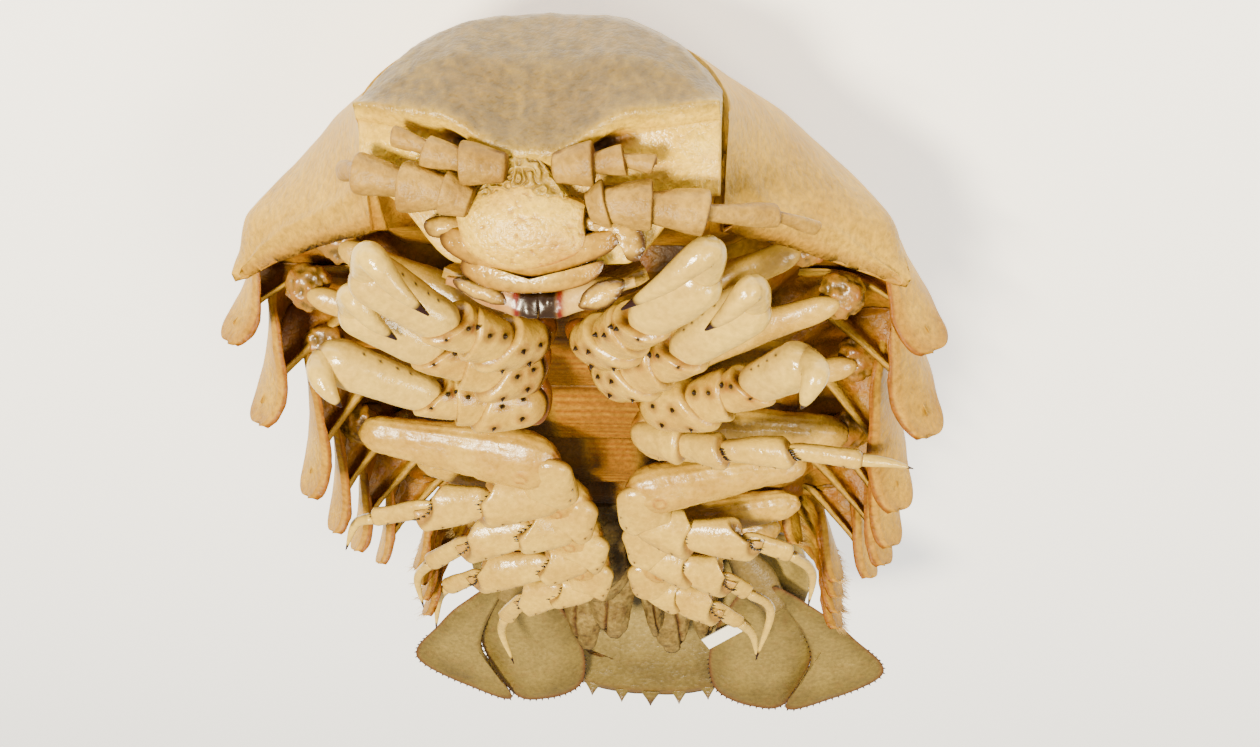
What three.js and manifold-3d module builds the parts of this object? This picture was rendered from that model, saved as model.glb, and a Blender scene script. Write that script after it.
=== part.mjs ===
// Giant isopod exoskeleton: a dried, curled shell of separate plates and limbs, lying on its back.
// Units are millimetres. +Z is up and is also the belly side; the head points to -Y.
// +X is the animal's right.
import * as THREE from "three";
import { mergeVertices } from "three/addons/utils/BufferGeometryUtils.js";
import Module from "manifold-3d";

const wasm = await Module();
wasm.setup();

// The back line, from the front of the head to the end of the tail: each stretch's length, its lean and how
// far the slightly crooked body stands off to the side there.
const STRETCHES = [
  { name: "head", length: 27, lean: -42, aside: 0 },
  { name: "pereonite_1", length: 24, lean: -23, aside: 1.6 },
  { name: "pereonite_2", length: 15, lean: -10, aside: 0.9 },
  { name: "pereonite_3", length: 15, lean: -2, aside: 0.3 },
  { name: "pereonite_4", length: 18, lean: 1, aside: 0 },
  { name: "pereonite_5", length: 20, lean: 4, aside: 0 },
  { name: "pereonite_6", length: 19, lean: 8.5, aside: 0 },
  { name: "pereonite_7", length: 13, lean: 14, aside: 0 },
  { name: "pleon", length: 26, lean: 22.5, aside: 0 },
  { name: "pleotelson", length: 56, lean: 35, aside: -0.8 },
];
const CENTRE_Y = 3.97;
const FLAT = 1.2;
const GAP = 0.35;
const STEP = 0.5;

// Tergites with their side plates: half width and depth at the tip, where the tip lies along the
// back line, how far round the tip reaches, half the width of the paddle at its end, how far the
// paddle's rear edge flares out past its front edge, and the belly wall with the gutter beside it.
const RINGS = [
  {
    name: "pereonite_2", wide: 59, deep: 40, tip: 67,
    reach: 76, paddle: 3.6, flare: 8, core: 33, floor: 31, gutter: 4,
  },
  {
    name: "pereonite_3", wide: 59.3, deep: 46.5, tip: 90,
    reach: 80, paddle: 4, flare: 9, core: 36, floor: 32, gutter: 4,
  },
  {
    name: "pereonite_4", wide: 55.4, deep: 49.5, tip: 114,
    reach: 84, paddle: 4.2, flare: 8, core: 37, floor: 32, gutter: 4,
  },
  {
    name: "pereonite_5", wide: 54.5, deep: 47, tip: 135,
    reach: 86, paddle: 4, flare: 6, core: 37, floor: 32, gutter: 4,
  },
  {
    name: "pereonite_6", wide: 53.6, deep: 42, tip: 153,
    reach: 86, paddle: 3.8, flare: 5, core: 36, floor: 31, gutter: 4,
  },
  {
    name: "pereonite_7", wide: 51.1, deep: 37, tip: 166,
    reach: 86, paddle: 3.2, flare: 4, core: 34, floor: 28, gutter: 4,
  },
];
const RING_STOPS = [0, 0.17, 0.34, 0.5, 0.64, 0.76, 0.86, 0.93, 0.98, 1];
const PLATE_THICK = 1.7;
const SHOULDER = 0.74;
const STEP_DOWN = 0.9;
const CROWN = 1.9;
const WIDEN = 2.6;

// The first tergite wraps the head: its front edge runs behind the head, forward beside it and
// out along the lower edge to the tip, as [share of the way out, x, s, h].
const COLLAR = {
  wide: 51.5,
  deep: 32.5,
  tip: 48,
  reach: 74,
  core: 30,
  floor: 27,
  gutter: 3,
  front: [
    [0, 0, 27, 0],
    [0.14, 10, 23.6, 0.6],
    [0.28, 19, 15.2, 3.6],
    [0.36, 23.9, 9, 8.6],
    [0.46, 24.4, 8, 14],
    [0.6, 23.4, 11, 24.5],
    [0.8, 36, 28, 29],
    [1, 49.5, 46, 32],
  ],
};

const PLEON = {
  count: 5, stops: [0, 0.35, 0.7, 0.86, 1], wide: 44.5, deep: 34, tip: 9,
  flare: 3, core: 20, floor: 19, gutter: 19,
};

const HEAD = { half: 23.5, cornerH: 9.7, rostrumH: 15.6, browS: 3, mouthH: 31, mouthHalf: 15 };

const FACE_S = 1.9;

const TELSON = { front: 34, belly: 3, round: 24, thick: 2.4, deep: 12, spines: 9, spineLong: 3.2 };

const SIDES = [
  ["right", 1],
  ["left", -1],
];

const COLOURS = {
  shell: { color: 0xd8c49a, roughness: 0.5 },
  face: { color: 0xe3cf9f, roughness: 0.45 },
  mouth: { color: 0xd9a860, roughness: 0.4 },
  jaw: { color: 0x3a1510, roughness: 0.25 },
  limb: { color: 0xe8dab4, roughness: 0.38 },
  gill: { color: 0xb8a285, roughness: 0.6 },
  tail: { color: 0xd6cc9e, roughness: 0.45 },
  paper: { color: 0xf3f1ea, roughness: 0.9 },
};

const radians = THREE.MathUtils.degToRad;
const mix = THREE.MathUtils.lerp;
const ease = THREE.MathUtils.smoothstep;

// The back line, integrated in short steps from the leans of its stretches.
const startOf = {};
const middles = [];
let reached = 0;
for (const stretch of STRETCHES) {
  startOf[stretch.name] = reached;
  middles.push(reached + stretch.length / 2);
  reached += stretch.length;
}
const WHOLE = reached;

function valueAt(s, key) {
  if (s <= middles[0]) return STRETCHES[0][key];
  for (let i = 1; i < middles.length; i++) {
    if (s <= middles[i]) {
      const share = (s - middles[i - 1]) / (middles[i] - middles[i - 1]);
      return mix(STRETCHES[i - 1][key], STRETCHES[i][key], share);
    }
  }
  return STRETCHES[STRETCHES.length - 1][key];
}

const backLine = [{ y: 0, z: 0 }];
for (let s = 0; s < WHOLE + 10; s += STEP) {
  const last = backLine[backLine.length - 1];
  const lean = radians(valueAt(s, "lean"));
  backLine.push({ y: last.y + Math.cos(lean) * STEP, z: last.z + Math.sin(lean) * STEP });
}
const lowest = Math.min(...backLine.map((p) => p.z));
const middleY = backLine.slice(0, WHOLE / STEP + 1).reduce((sum, p) => sum + p.y, 0) / (WHOLE / STEP + 1);

// A point of the body: s along the back line, x sideways, h in from the back towards the belly.
function place(s, x, h) {
  const at = THREE.MathUtils.clamp(s, 0, WHOLE + 9) / STEP;
  const i = Math.floor(at);
  const a = backLine[i];
  const b = backLine[i + 1];
  const lean = radians(valueAt(s, "lean"));
  const beyond = s < 0 ? s : 0;
  const y = mix(a.y, b.y, at - i) - middleY + beyond * Math.cos(lean) - h * Math.sin(lean);
  const z = mix(a.z, b.z, at - i) - lowest - FLAT + beyond * Math.sin(lean) + h * Math.cos(lean);
  return [x + valueAt(s, "aside"), y - CENTRE_Y, z];
}

// A point in the room, given before the body is centred over the origin.
function room(x, y, z) {
  return [x, y - CENTRE_Y, z - FLAT];
}

function solidFrom(points, faces) {
  const geometry = new THREE.BufferGeometry();
  geometry.setAttribute("position", new THREE.Float32BufferAttribute(points.flat(), 3));
  geometry.setIndex(faces.flat());
  const merged = mergeVertices(geometry, 1e-4);
  const made = new wasm.Manifold(
    new wasm.Mesh({
      numProp: 3,
      vertProperties: merged.attributes.position.array,
      triVerts: new Uint32Array(merged.index.array),
    }),
  );
  if (made.volume() > 0) return made;
  const turned = faces.map(([a, b, c]) => [a, c, b]);
  return solidFrom(points, turned);
}

// A slab between two grids of points over u and v from 0 to 1, closed all round its border.
function slab(nu, nv, upper, lower) {
  const points = [];
  const faces = [];
  for (const side of [upper, lower])
    for (let i = 0; i <= nu; i++)
      for (let j = 0; j <= nv; j++) points.push(side(i / nu, j / nv));
  const at = (layer, i, j) => layer * (nu + 1) * (nv + 1) + i * (nv + 1) + j;
  const quad = (a, b, c, d) => faces.push([a, b, c], [a, c, d]);
  for (let i = 0; i < nu; i++)
    for (let j = 0; j < nv; j++) {
      quad(at(0, i, j), at(0, i + 1, j), at(0, i + 1, j + 1), at(0, i, j + 1));
      quad(at(1, i, j), at(1, i, j + 1), at(1, i + 1, j + 1), at(1, i + 1, j));
    }
  for (let i = 0; i < nu; i++) {
    quad(at(0, i + 1, 0), at(0, i, 0), at(1, i, 0), at(1, i + 1, 0));
    quad(at(0, i, nv), at(0, i + 1, nv), at(1, i + 1, nv), at(1, i, nv));
  }
  for (let j = 0; j < nv; j++) {
    quad(at(0, 0, j), at(0, 0, j + 1), at(1, 0, j + 1), at(1, 0, j));
    quad(at(0, nu, j + 1), at(0, nu, j), at(1, nu, j), at(1, nu, j + 1));
  }
  return solidFrom(points, faces);
}

// A rod of oval sections through stops { at, wide, tall }, each end closed by a flat cap.
function rod(stops, sides, flatTo) {
  const points = [];
  const faces = [];
  const up = new THREE.Vector3(...flatTo).normalize();
  stops.forEach((stop, k) => {
    const here = new THREE.Vector3(...stop.at);
    const before = new THREE.Vector3(...stops[Math.max(k - 1, 0)].at);
    const after = new THREE.Vector3(...stops[Math.min(k + 1, stops.length - 1)].at);
    const along = after.sub(before).normalize();
    const across = new THREE.Vector3().crossVectors(along, up).normalize();
    const over = new THREE.Vector3().crossVectors(across, along).normalize();
    for (let i = 0; i < sides; i++) {
      const turn = (2 * Math.PI * (i + 0.5)) / sides;
      const p = here.clone();
      p.addScaledVector(across, (Math.cos(turn) * stop.wide) / 2);
      p.addScaledVector(over, (Math.sin(turn) * stop.tall) / 2);
      points.push(p.toArray());
    }
  });
  for (let k = 0; k < stops.length - 1; k++)
    for (let i = 0; i < sides; i++) {
      const a = k * sides + i;
      const b = k * sides + ((i + 1) % sides);
      faces.push([a, b, b + sides], [a, b + sides, a + sides]);
    }
  const last = (stops.length - 1) * sides;
  for (let i = 1; i < sides - 1; i++) faces.push([0, i + 1, i], [last, last + i, last + i + 1]);
  return solidFrom(points, faces);
}

function joined(solids) {
  return solids.reduce((all, next) => all.add(next));
}

const parts = new THREE.Group();
const made = new Map();

function add(name, solid, finish) {
  made.set(name, { solid, finish });
}

// A tergite ring: an arched slab whose side plates sweep back to paddle ends, filled in to the
// belly wall over its middle.
function ring(spec, start, length) {
  const turn = radians(spec.reach);
  const full = 1 - Math.cos(turn);
  const surface = (u, v, inside) => {
    const q = spec.stops[Math.round(Math.abs(2 * u - 1) * (spec.stops.length - 1))];
    const swept = ease(q, SHOULDER, 1);
    const rear = mix(start + length - GAP, spec.tip, swept ** 0.9);
    const front = mix(start, spec.tip - 2 * spec.paddle, ease(q, SHOULDER + 0.02, 1));
    const end = q > 0.9 ? Math.sqrt(1.06 - ((q - 0.9) / 0.1) ** 2) : 1;
    const s = mix(front, rear, 0.5 + (v - 0.5) * end);
    const leaning = spec.flare * (0.5 + (0.5 - v) * end) * ease(q, SHOULDER - 0.06, 0.95);
    const x = (spec.wide * Math.sin(turn * q)) / Math.sin(turn) - leaning;
    const h = (spec.deep * (1 - Math.cos(turn * q))) / full + STEP_DOWN * (1 - v) ** 2;
    const sign = Math.sign(u - 0.5);
    if (!inside) return place(s, sign * x, h);
    const overX = (spec.wide * Math.cos(turn * q)) / Math.sin(turn);
    const overH = (spec.deep * Math.sin(turn * q)) / full;
    const thick = PLATE_THICK / Math.hypot(overX, overH);
    const inX = Math.max(x - thick * overH, 0);
    const belly = spec.floor - spec.gutter * ease(inX, spec.core - 5, spec.core + 3);
    return place(s, sign * inX, Math.max(belly, h + thick * overX));
  };
  const steps = 2 * (spec.stops.length - 1);
  return slab(steps, 2, (u, v) => surface(u, v, false), (u, v) => surface(u, v, true));
}

function collar() {
  const { wide, deep, tip, reach, core, floor, gutter, front } = COLLAR;
  const rear = startOf.pereonite_2 - GAP;
  const full = 1 - Math.cos(radians(reach));
  const frontAt = (q) => {
    const k = Math.max(1, front.findIndex(([share]) => share >= q));
    const [a, b] = [front[k - 1], front[k]];
    return [1, 2, 3].map((i) => mix(a[i], b[i], (q - a[0]) / (b[0] - a[0])));
  };
  const surface = (u, v, inside) => {
    const q = Math.abs(2 * u - 1);
    const sign = Math.sign(u - 0.5);
    const [x0, s0, h0] = frontAt(q);
    const arch = (wide * Math.sin(radians(reach * q))) / Math.sin(radians(reach));
    const x1 = arch + WIDEN * Math.sin(Math.PI * q);
    const h1 = (deep * (1 - Math.cos(radians(reach * q)))) / full;
    const s1 = mix(rear, tip, ease(q, 0.7, 1));
    const bulge = Math.sin(Math.PI * v) * ease(q, 0.3, 0.6) * (1 - ease(q, 0.8, 1));
    const x = mix(x0, x1, v) + 4.6 * bulge;
    const h = mix(h0, h1, v) - 1.2 * bulge - CROWN * (1 - v) * (1 - ease(q, 0, 0.3));
    const s = mix(s0 + GAP, s1, v);
    if (!inside) return place(s, sign * x, h);
    const side = ease(q, 0.25, 0.5);
    const inX = x - 1.4 * side * (1 - 0.5 * q);
    const plate = h + 2.4 * (1 - 0.5 * q);
    const belly = floor - gutter * ease(x, core - 6, core + 2);
    return place(s + 1.6 * side * (1 - v), sign * Math.max(inX, 0), Math.max(belly, plate));
  };
  return slab(22, 3, (u, v) => surface(u, v, false), (u, v) => surface(u, v, true));
}
add("pereonite_1", collar(), "shell");

for (const spec of RINGS) {
  const stretch = STRETCHES.find((one) => one.name === spec.name);
  add(spec.name, ring({ ...spec, stops: RING_STOPS }, startOf[spec.name], stretch.length), "shell");
}

// Five short rings of the pleon, each with a swept side point.
const pleonLength = STRETCHES[8].length / PLEON.count;
for (let k = 0; k < PLEON.count; k++) {
  const start = startOf.pleon + k * pleonLength;
  const spec = {
    stops: PLEON.stops,
    wide: PLEON.wide - (k === 0 ? 8 : 0),
    deep: PLEON.deep - (k === 0 ? 6 : 0),
    tip: start + pleonLength + PLEON.tip,
    reach: 84,
    paddle: 1.9,
    flare: PLEON.flare,
    core: PLEON.core,
    floor: PLEON.floor - 2 * k,
    gutter: PLEON.gutter,
  };
  add(`pleonite_${k + 1}`, ring(spec, start, pleonLength), "shell");
}

// The head: profiles across its width run over the crown, the brow edge, the face and the mouth floor.
function head() {
  const brow = (x) => {
    const side = Math.abs(x) / HEAD.half;
    return mix(HEAD.rostrumH, HEAD.cornerH + 1, ease(side, 0.08, 0.55)) - ease(side, 0.5, 1);
  };
  const profile = (x) => {
    const side = Math.abs(x) / HEAD.half;
    const crown = (HEAD.cornerH - 1.2 + CROWN) * side ** 3 - CROWN;
    const floor = mix(HEAD.mouthH, 22, ease(Math.abs(x), HEAD.mouthHalf - 4, HEAD.mouthHalf + 6));
    const back = startOf.pereonite_1 - GAP - 18 * side * side;
    const edge = HEAD.browS * side * side;
    return [
      [back, crown],
      [mix(edge, back, 0.6), crown + 0.6],
      [mix(edge, back, 0.25), mix(crown + 2.6, brow(x) - 2, 0.3)],
      [edge, brow(x)],
      [2.5 + edge, brow(x) + 2],
      [3 + 2 * side, mix(brow(x), floor, 0.6)],
      [5.5, floor],
      [mix(back, 24, 0.5 * side), floor - 2],
    ];
  };
  const columns = 14;
  const points = [];
  const faces = [];
  for (let i = 0; i <= columns; i++) {
    const x = mix(-HEAD.half, HEAD.half, i / columns);
    for (const [s, h] of profile(x)) points.push(place(s, x, h));
  }
  const n = 8;
  for (let i = 0; i < columns; i++)
    for (let j = 0; j < n; j++) {
      const a = i * n + j;
      const b = i * n + ((j + 1) % n);
      faces.push([a, b, b + n], [a, b + n, a + n]);
    }
  const last = columns * n;
  for (let j = 1; j < n - 1; j++) faces.push([0, j + 1, j], [last, last + j, last + j + 1]);
  return solidFrom(points, faces);
}
add("head", head(), "face");

// A small plate on the face: outline points { x, h } with a front that bulges towards its middle.
function facePlate(outline, back, front, bulge) {
  const points = [];
  const faces = [];
  const n = outline.length;
  const midX = outline.reduce((sum, p) => sum + p[0], 0) / n;
  const midH = outline.reduce((sum, p) => sum + p[1], 0) / n;
  for (const [x, h] of outline) points.push(place(back, x, h));
  for (const [x, h] of outline) points.push(place(front, mix(midX, x, 0.96), mix(midH, h, 0.96)));
  for (const [x, h] of outline) {
    points.push(place(front - bulge * 0.8, mix(midX, x, 0.6), mix(midH, h, 0.6)));
  }
  points.push(place(front - bulge, midX, midH));
  for (let i = 0; i < n; i++) {
    const j = (i + 1) % n;
    faces.push([i, j, n + j], [i, n + j, n + i]);
    faces.push([n + i, n + j, 2 * n + j], [n + i, 2 * n + j, 2 * n + i]);
    faces.push([2 * n + i, 2 * n + j, 3 * n]);
  }
  for (let i = 1; i < n - 1; i++) faces.push([0, i + 1, i]);
  return solidFrom(points, faces);
}

function mirrored(half) {
  const other = half.filter(([x]) => x > 0).map(([x, h]) => [-x, h]);
  return [...half, ...other.reverse()];
}

const FRONTAL_LAMINA = mirrored([[0, 15.6], [2.4, 16.2], [5, 19], [6.4, 21.6], [3.6, 21.4], [0, 19.8]]);
const CLYPEUS = mirrored([
  [0, 20.4],
  [3.8, 22],
  [8.3, 22.8],
  [8.6, 25.5],
  [7.9, 28.4],
  [4.5, 29.8],
  [0, 30.6],
]);
const LABRUM = mirrored([[0, 31.2], [4.7, 30.4], [8.5, 29], [11.2, 28], [11.4, 30], [7.5, 33], [0, 34]]);
add("frontal_lamina", facePlate(FRONTAL_LAMINA, FACE_S, FACE_S - 1.2, 1.2), "face");
add("clypeus", facePlate(CLYPEUS, FACE_S, FACE_S - 1.4, 1.8), "face");
add("labrum", facePlate(LABRUM, FACE_S + 0.6, FACE_S - 0.8, 1), "mouth");

// A jaw: a stout curved body whose inner end is the squared dark incisor.
function mandible(sign) {
  const stops = [
    { at: place(5.2, sign * 12.5, 32.9), wide: 2.6, tall: 2.6 },
    { at: place(4.8, sign * 9, 33.7), wide: 3.4, tall: 3.2 },
    { at: place(4.4, sign * 4.4, 35), wide: 3.6, tall: 3.4 },
    { at: place(4.2, sign * 2.6, 35.6), wide: 3.8, tall: 4 },
    { at: place(4.2, sign * 0.4, 35.9), wide: 3.4, tall: 4 },
  ];
  return rod(stops, 8, [0, -0.7, 0.7]);
}

// The plate that covers the mouth from below, sloping down to the side.
function maxilliped(sign) {
  const over = (u, v) => {
    const x = sign * mix(1.2, mix(14, 10, u), v);
    return place(mix(8, 25, u), x, mix(36.6, mix(33, 32, u), v * v));
  };
  const under = (u, v) => {
    const x = sign * mix(1.4, mix(13.6, 9.6, u), v);
    return place(mix(8, 25, u), x, mix(34.4, mix(31.6, 31, u), v * v));
  };
  return slab(4, 4, over, under);
}

// A feeler: stout root articles that narrow in steps, from stops { x, s, h, thick }.
function feeler(sign, stops) {
  const rods = stops.map(([x, s, h, thick]) => ({ at: place(s, sign * x, h), wide: thick, tall: thick }));
  return rod(rods, 6, [0, -0.7, 0.7]);
}

const ANTENNULES = {
  right: [
    [3.2, -0.9, 17.6, 4.4],
    [8.8, -0.9, 17, 5],
    [9.4, -1, 16.4, 3.4],
    [13.4, -0.8, 15.4, 3.6],
    [13.8, -0.8, 15, 2.2],
    [17.4, -0.6, 13.6, 2.2],
  ],
  left: [
    [3.2, -0.9, 17.6, 4.4],
    [8, -0.9, 17, 5],
    [8.6, -1, 17, 3.4],
    [12, -0.8, 16.6, 3.6],
    [12.4, -0.8, 16.8, 2.2],
    [15.6, -0.6, 17.2, 2],
  ],
};
const ANTENNAE = {
  right: [
    [7.8, -0.6, 22, 4.4],
    [10.8, -0.6, 20.6, 5.6],
    [16.4, 0, 20.2, 6],
    [17, 0.4, 19.4, 4.6],
    [22.6, 1.2, 18.4, 4.8],
    [23.2, 1.6, 18.2, 2.8],
    [31, 6, 18.6, 2.6],
  ],
  left: [
    [7.4, -0.6, 22.6, 4.4],
    [9.4, -0.6, 22, 5.6],
    [15, 0, 22.2, 6],
    [15.6, 0.4, 22.6, 5],
    [21.8, 1.2, 23.4, 5.4],
    [22.4, 2, 23.6, 3],
    [30.8, 7, 24.4, 2.6],
    [36, 11, 26.6, 1.4],
  ],
};

for (const [name, sign] of SIDES) {
  add(`mandible_${name}`, mandible(sign), "jaw");
  add(`maxilliped_${name}`, maxilliped(sign), "mouth");
  add(`antennule_${name}`, feeler(sign, ANTENNULES[name]), "limb");
  add(`antenna_${name}`, feeler(sign, ANTENNAE[name]), "limb");
}

// The walking legs, each point [x, y, z] in the room with x away from the middle: hip, knee, the joints
// of the folded outer leg, and the claw from its root to its tip.
const LEGS = {
  right: [
    {
      hip: [29, -63, 36], knee: [5.5, -54, 45],
      outer: [[10, -60, 48.5], [15.5, -67, 49.5], [25.5, -76.5, 47]],
      claw: [[23, -82.5, 48.5], [16, -75, 53]],
    },
    {
      hip: [34, -50, 36.5], knee: [7.5, -43.5, 44],
      outer: [[12.5, -47.5, 46.5], [20, -54, 46.5], [31, -63.5, 44.5]],
      claw: [[29, -69, 46.5], [24, -61.5, 49]],
    },
    {
      hip: [36, -35, 36.5], knee: [9, -30.5, 42.5],
      outer: [[17, -33, 44.5], [24, -37, 45], [40, -46, 43]],
      claw: [[40, -46, 46], [37, -42, 50]],
    },
    {
      hip: [36, -15, 37], knee: [9, -8, 43.5],
      outer: [[10, 1, 45], [22, 1, 46.5], [32, 2, 47.5], [44, 7, 47.5]],
      claw: [[48, 10, 47.5], [50.5, 14.5, 51]],
    },
    {
      hip: [36, 2, 37], knee: [6, 12, 42],
      outer: [[9, 17, 44.5], [17, 16, 45.5], [28, 20, 46.5], [38, 30, 47]],
      claw: [[41.5, 36, 48], [41, 42, 52]],
    },
    {
      hip: [35, 17, 37.5], knee: [5, 26, 43],
      outer: [[8, 31, 45], [15, 32, 46], [29, 37, 46.5], [38, 47, 45.5]],
      claw: [[41, 54, 45.5], [43, 63, 49]],
    },
    {
      hip: [31, 27, 38], knee: [5, 38.5, 44],
      outer: [[8, 44, 46], [14, 45, 46.5], [22, 50, 46.5], [28, 62, 46.5]],
      claw: [[29.5, 69, 47.5], [27.5, 76, 52]],
    },
  ],
  left: [
    {
      hip: [29, -63, 36], knee: [3.5, -55, 46],
      outer: [[8, -61.5, 48.5], [12.5, -69, 50], [21.5, -78, 48]],
      claw: [[22, -85, 49], [10.5, -77, 53]],
    },
    {
      hip: [34, -50, 36.5], knee: [5, -43, 44.5],
      outer: [[10, -48, 46.5], [17, -55.5, 47], [28, -66.5, 45]],
      claw: [[27.5, -73, 47], [21, -66, 49.5]],
    },
    {
      hip: [36, -35, 36.5], knee: [11, -30, 43],
      outer: [[19, -36, 45], [27, -42, 45], [35.5, -49.5, 44.5]],
      claw: [[36.5, -51, 47.5], [34.5, -46, 51]],
    },
    {
      hip: [36, -16, 37], knee: [7.5, -17, 41],
      outer: [[15, -19, 44], [22, -22, 46.5], [33, -24, 47.5], [44.5, -23, 48]],
      claw: [[49, -22, 48], [53, -21, 48.5]],
    },
    {
      hip: [36, 1, 37], knee: [5, 3, 43.5],
      outer: [[7, 11, 45.5], [14, 14, 46.5], [25, 14, 47], [33.5, 20, 47]],
      claw: [[37.5, 28, 47.5], [37, 37, 51]],
    },
    {
      hip: [35, 17, 37.5], knee: [4, 21, 43],
      outer: [[7, 28, 45.5], [13, 30, 46.5], [20, 33.5, 47], [25, 41, 47]],
      claw: [[29.5, 48, 48], [26.5, 59, 55]],
    },
    {
      hip: [31, 27, 38], knee: [3.5, 38, 44],
      outer: [[6, 45, 45.5], [10, 47.5, 46], [17, 51, 46.5], [23, 60, 46.5]],
      claw: [[25.5, 66, 47], [26.5, 73, 50]],
    },
  ],
};
const GRASPING = 3;
const FACING = [0, -0.55, 0.83];

function leg(sign, k, { hip, knee, outer, claw }) {
  const grasping = k < GRASPING;
  const spot = ([x, y, z]) => room(sign * x, y, z);
  const between = (a, b, share) => a.map((value, i) => mix(value, b[i], share));
  const broad = grasping ? 7 : 10.5;
  const basis = rod(
    [
      { at: spot(hip), wide: 4.5, tall: 3.6 },
      { at: spot(between(hip, knee, 0.3)), wide: broad, tall: 4.4 },
      { at: spot(between(hip, knee, 0.75)), wide: broad, tall: 4.6 },
      { at: spot(knee), wide: 5.4, tall: 5 },
    ],
    6,
    FACING,
  );
  const sizes = grasping ? [6.6, 6.8, 5.4, 5.6] : [7.6, 8.4, 7.6, 6.4, 4.6];
  const path = [knee, ...outer];
  const stops = path.map((p, i) => ({ at: spot(p), wide: sizes[i], tall: sizes[i] * 0.8 }));
  const folded = rod(stops, 6, FACING);
  const thick = grasping ? 4.6 : 3;
  const root = path[path.length - 1];
  const hook = rod(
    [
      { at: spot(root), wide: thick * 0.9, tall: thick * 0.9 },
      { at: spot(claw[0]), wide: thick, tall: thick },
      { at: spot(between(claw[0], claw[1], 0.55)), wide: thick * 0.66, tall: thick * 0.66 },
      { at: spot(claw[1]), wide: 0.8, tall: 0.8 },
    ],
    6,
    FACING,
  );
  return joined([basis, folded, hook]);
}

for (const [name, sign] of SIDES)
  LEGS[name].forEach((spec, k) => add(`pereopod_${k + 1}_${name}`, leg(sign, k, spec), "limb"));

// The gill flaps lie over one another like shingles, the first nearest the belly side.
const GILLS = { count: 5, top: 27, lift: 2.5, thick: 2, half: 18, end: 190 };

function pleopod(sign, k) {
  const start = startOf.pleon + 3 + 3.6 * k;
  const end = GILLS.end + 4 * k;
  const lap = (u, v, drop) => {
    const x = mix(0.6, GILLS.half, v);
    const round = 1 - 0.35 * Math.abs(2 * v - 1) ** 2.5;
    const s = mix(start, mix(start, end, round), u);
    const droop = 3 * (x / GILLS.half) ** 2 + 5 * ((s - startOf.pleon) / 60) ** 2;
    return place(s, sign * x, GILLS.top - GILLS.lift * k - droop - drop);
  };
  return slab(3, 3, (u, v) => lap(u, v, 0), (u, v) => lap(u, v, GILLS.thick));
}

for (const [name, sign] of SIDES)
  for (let k = 0; k < GILLS.count; k++) add(`pleopod_${k + 1}_${name}`, pleopod(sign, k), "gill");

// The tail shield, a shallow dish with a scalloped rear edge of upturned spines.
function telson() {
  const start = startOf.pleotelson + GAP;
  const columns = 2 * (TELSON.spines + 1);
  const half = (u) => TELSON.front + TELSON.belly * Math.sin(Math.PI * u ** 0.8);
  const deepAt = (u) => mix(TELSON.deep, 4, ease(u, 0.2, 1));
  const surface = (u, v, drop) => {
    const side = 2 * v - 1;
    const column = Math.round(v * columns);
    const isSpine = u === 1 && column % 2 === 0 && column > 0 && column < columns;
    const size = column === columns / 2 ? 1.3 : 1;
    const out = isSpine ? TELSON.spineLong * size : 0;
    const rim = WHOLE - TELSON.round * Math.abs(side) ** 2.6;
    const x = half(u) * side + Math.sign(side) * out * 0.8 * side * side;
    const h = deepAt(u) * Math.abs(side) ** 2.2 + (isSpine ? TELSON.thick * 0.7 + 1.6 : drop);
    return place(mix(start, rim, u) + out * (1 - 0.5 * side * side), x, h);
  };
  return slab(4, columns, (u, v) => surface(u, v, 0), (u, v) => surface(u, v, TELSON.thick));
}
add("pleotelson", telson(), "tail");

const LEAF_THICK = 1.5;
const INNER_LEAF = [
  [191, 25, 13],
  [202, 18, 11],
  [212, 15, 8.6],
  [221, 14.4, 6.6],
  [227.5, 16.6, 6],
  [231, 24, 6],
  [229.5, 32, 6.4],
  [212, 38, 9],
  [197, 32, 12.4],
];
const OUTER_LEAF = [
  [190, 29, 13.5],
  [199, 40.5, 12],
  [207, 47, 10],
  [216, 53.5, 6.6],
  [221, 52.5, 6],
  [226.5, 43, 6],
  [229.5, 32, 6.4],
  [212.5, 37.5, 9],
];

// A tail fan: a short stem with two flat leaves that lie beside the tail shield, on its belly side.
function uropod(sign) {
  const leaf = (outline, drop) => {
    const middle = outline[0].map((_, i) => outline.reduce((sum, p) => sum + p[i], 0) / outline.length);
    const n = outline.length;
    const points = [];
    const faces = [];
    for (const layer of [0, 1])
      for (const [at, x, h] of [middle, ...outline]) {
        points.push(place(at, sign * x, h + drop + layer * LEAF_THICK));
      }
    for (let i = 1; i <= n; i++) {
      const j = (i % n) + 1;
      faces.push([0, i, j], [n + 1, n + 1 + j, n + 1 + i]);
      faces.push([i, n + 1 + i, n + 1 + j], [i, n + 1 + j, j]);
    }
    return solidFrom(points, faces);
  };
  const inner = leaf(INNER_LEAF, 0);
  const outer = leaf(OUTER_LEAF, LEAF_THICK + 0.2);
  const stem = rod(
    [
      { at: place(181, sign * 22, 14), wide: 6, tall: 4 },
      { at: place(190, sign * 26, 14.5), wide: 9, tall: 4.4 },
      { at: place(197, sign * 30, 14), wide: 6, tall: 3 },
    ],
    6,
    [0, -0.6, 0.8],
  );
  return joined([stem, inner, outer]);
}
for (const [name, sign] of SIDES) add(`uropod_${name}`, uropod(sign), "tail");

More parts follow.
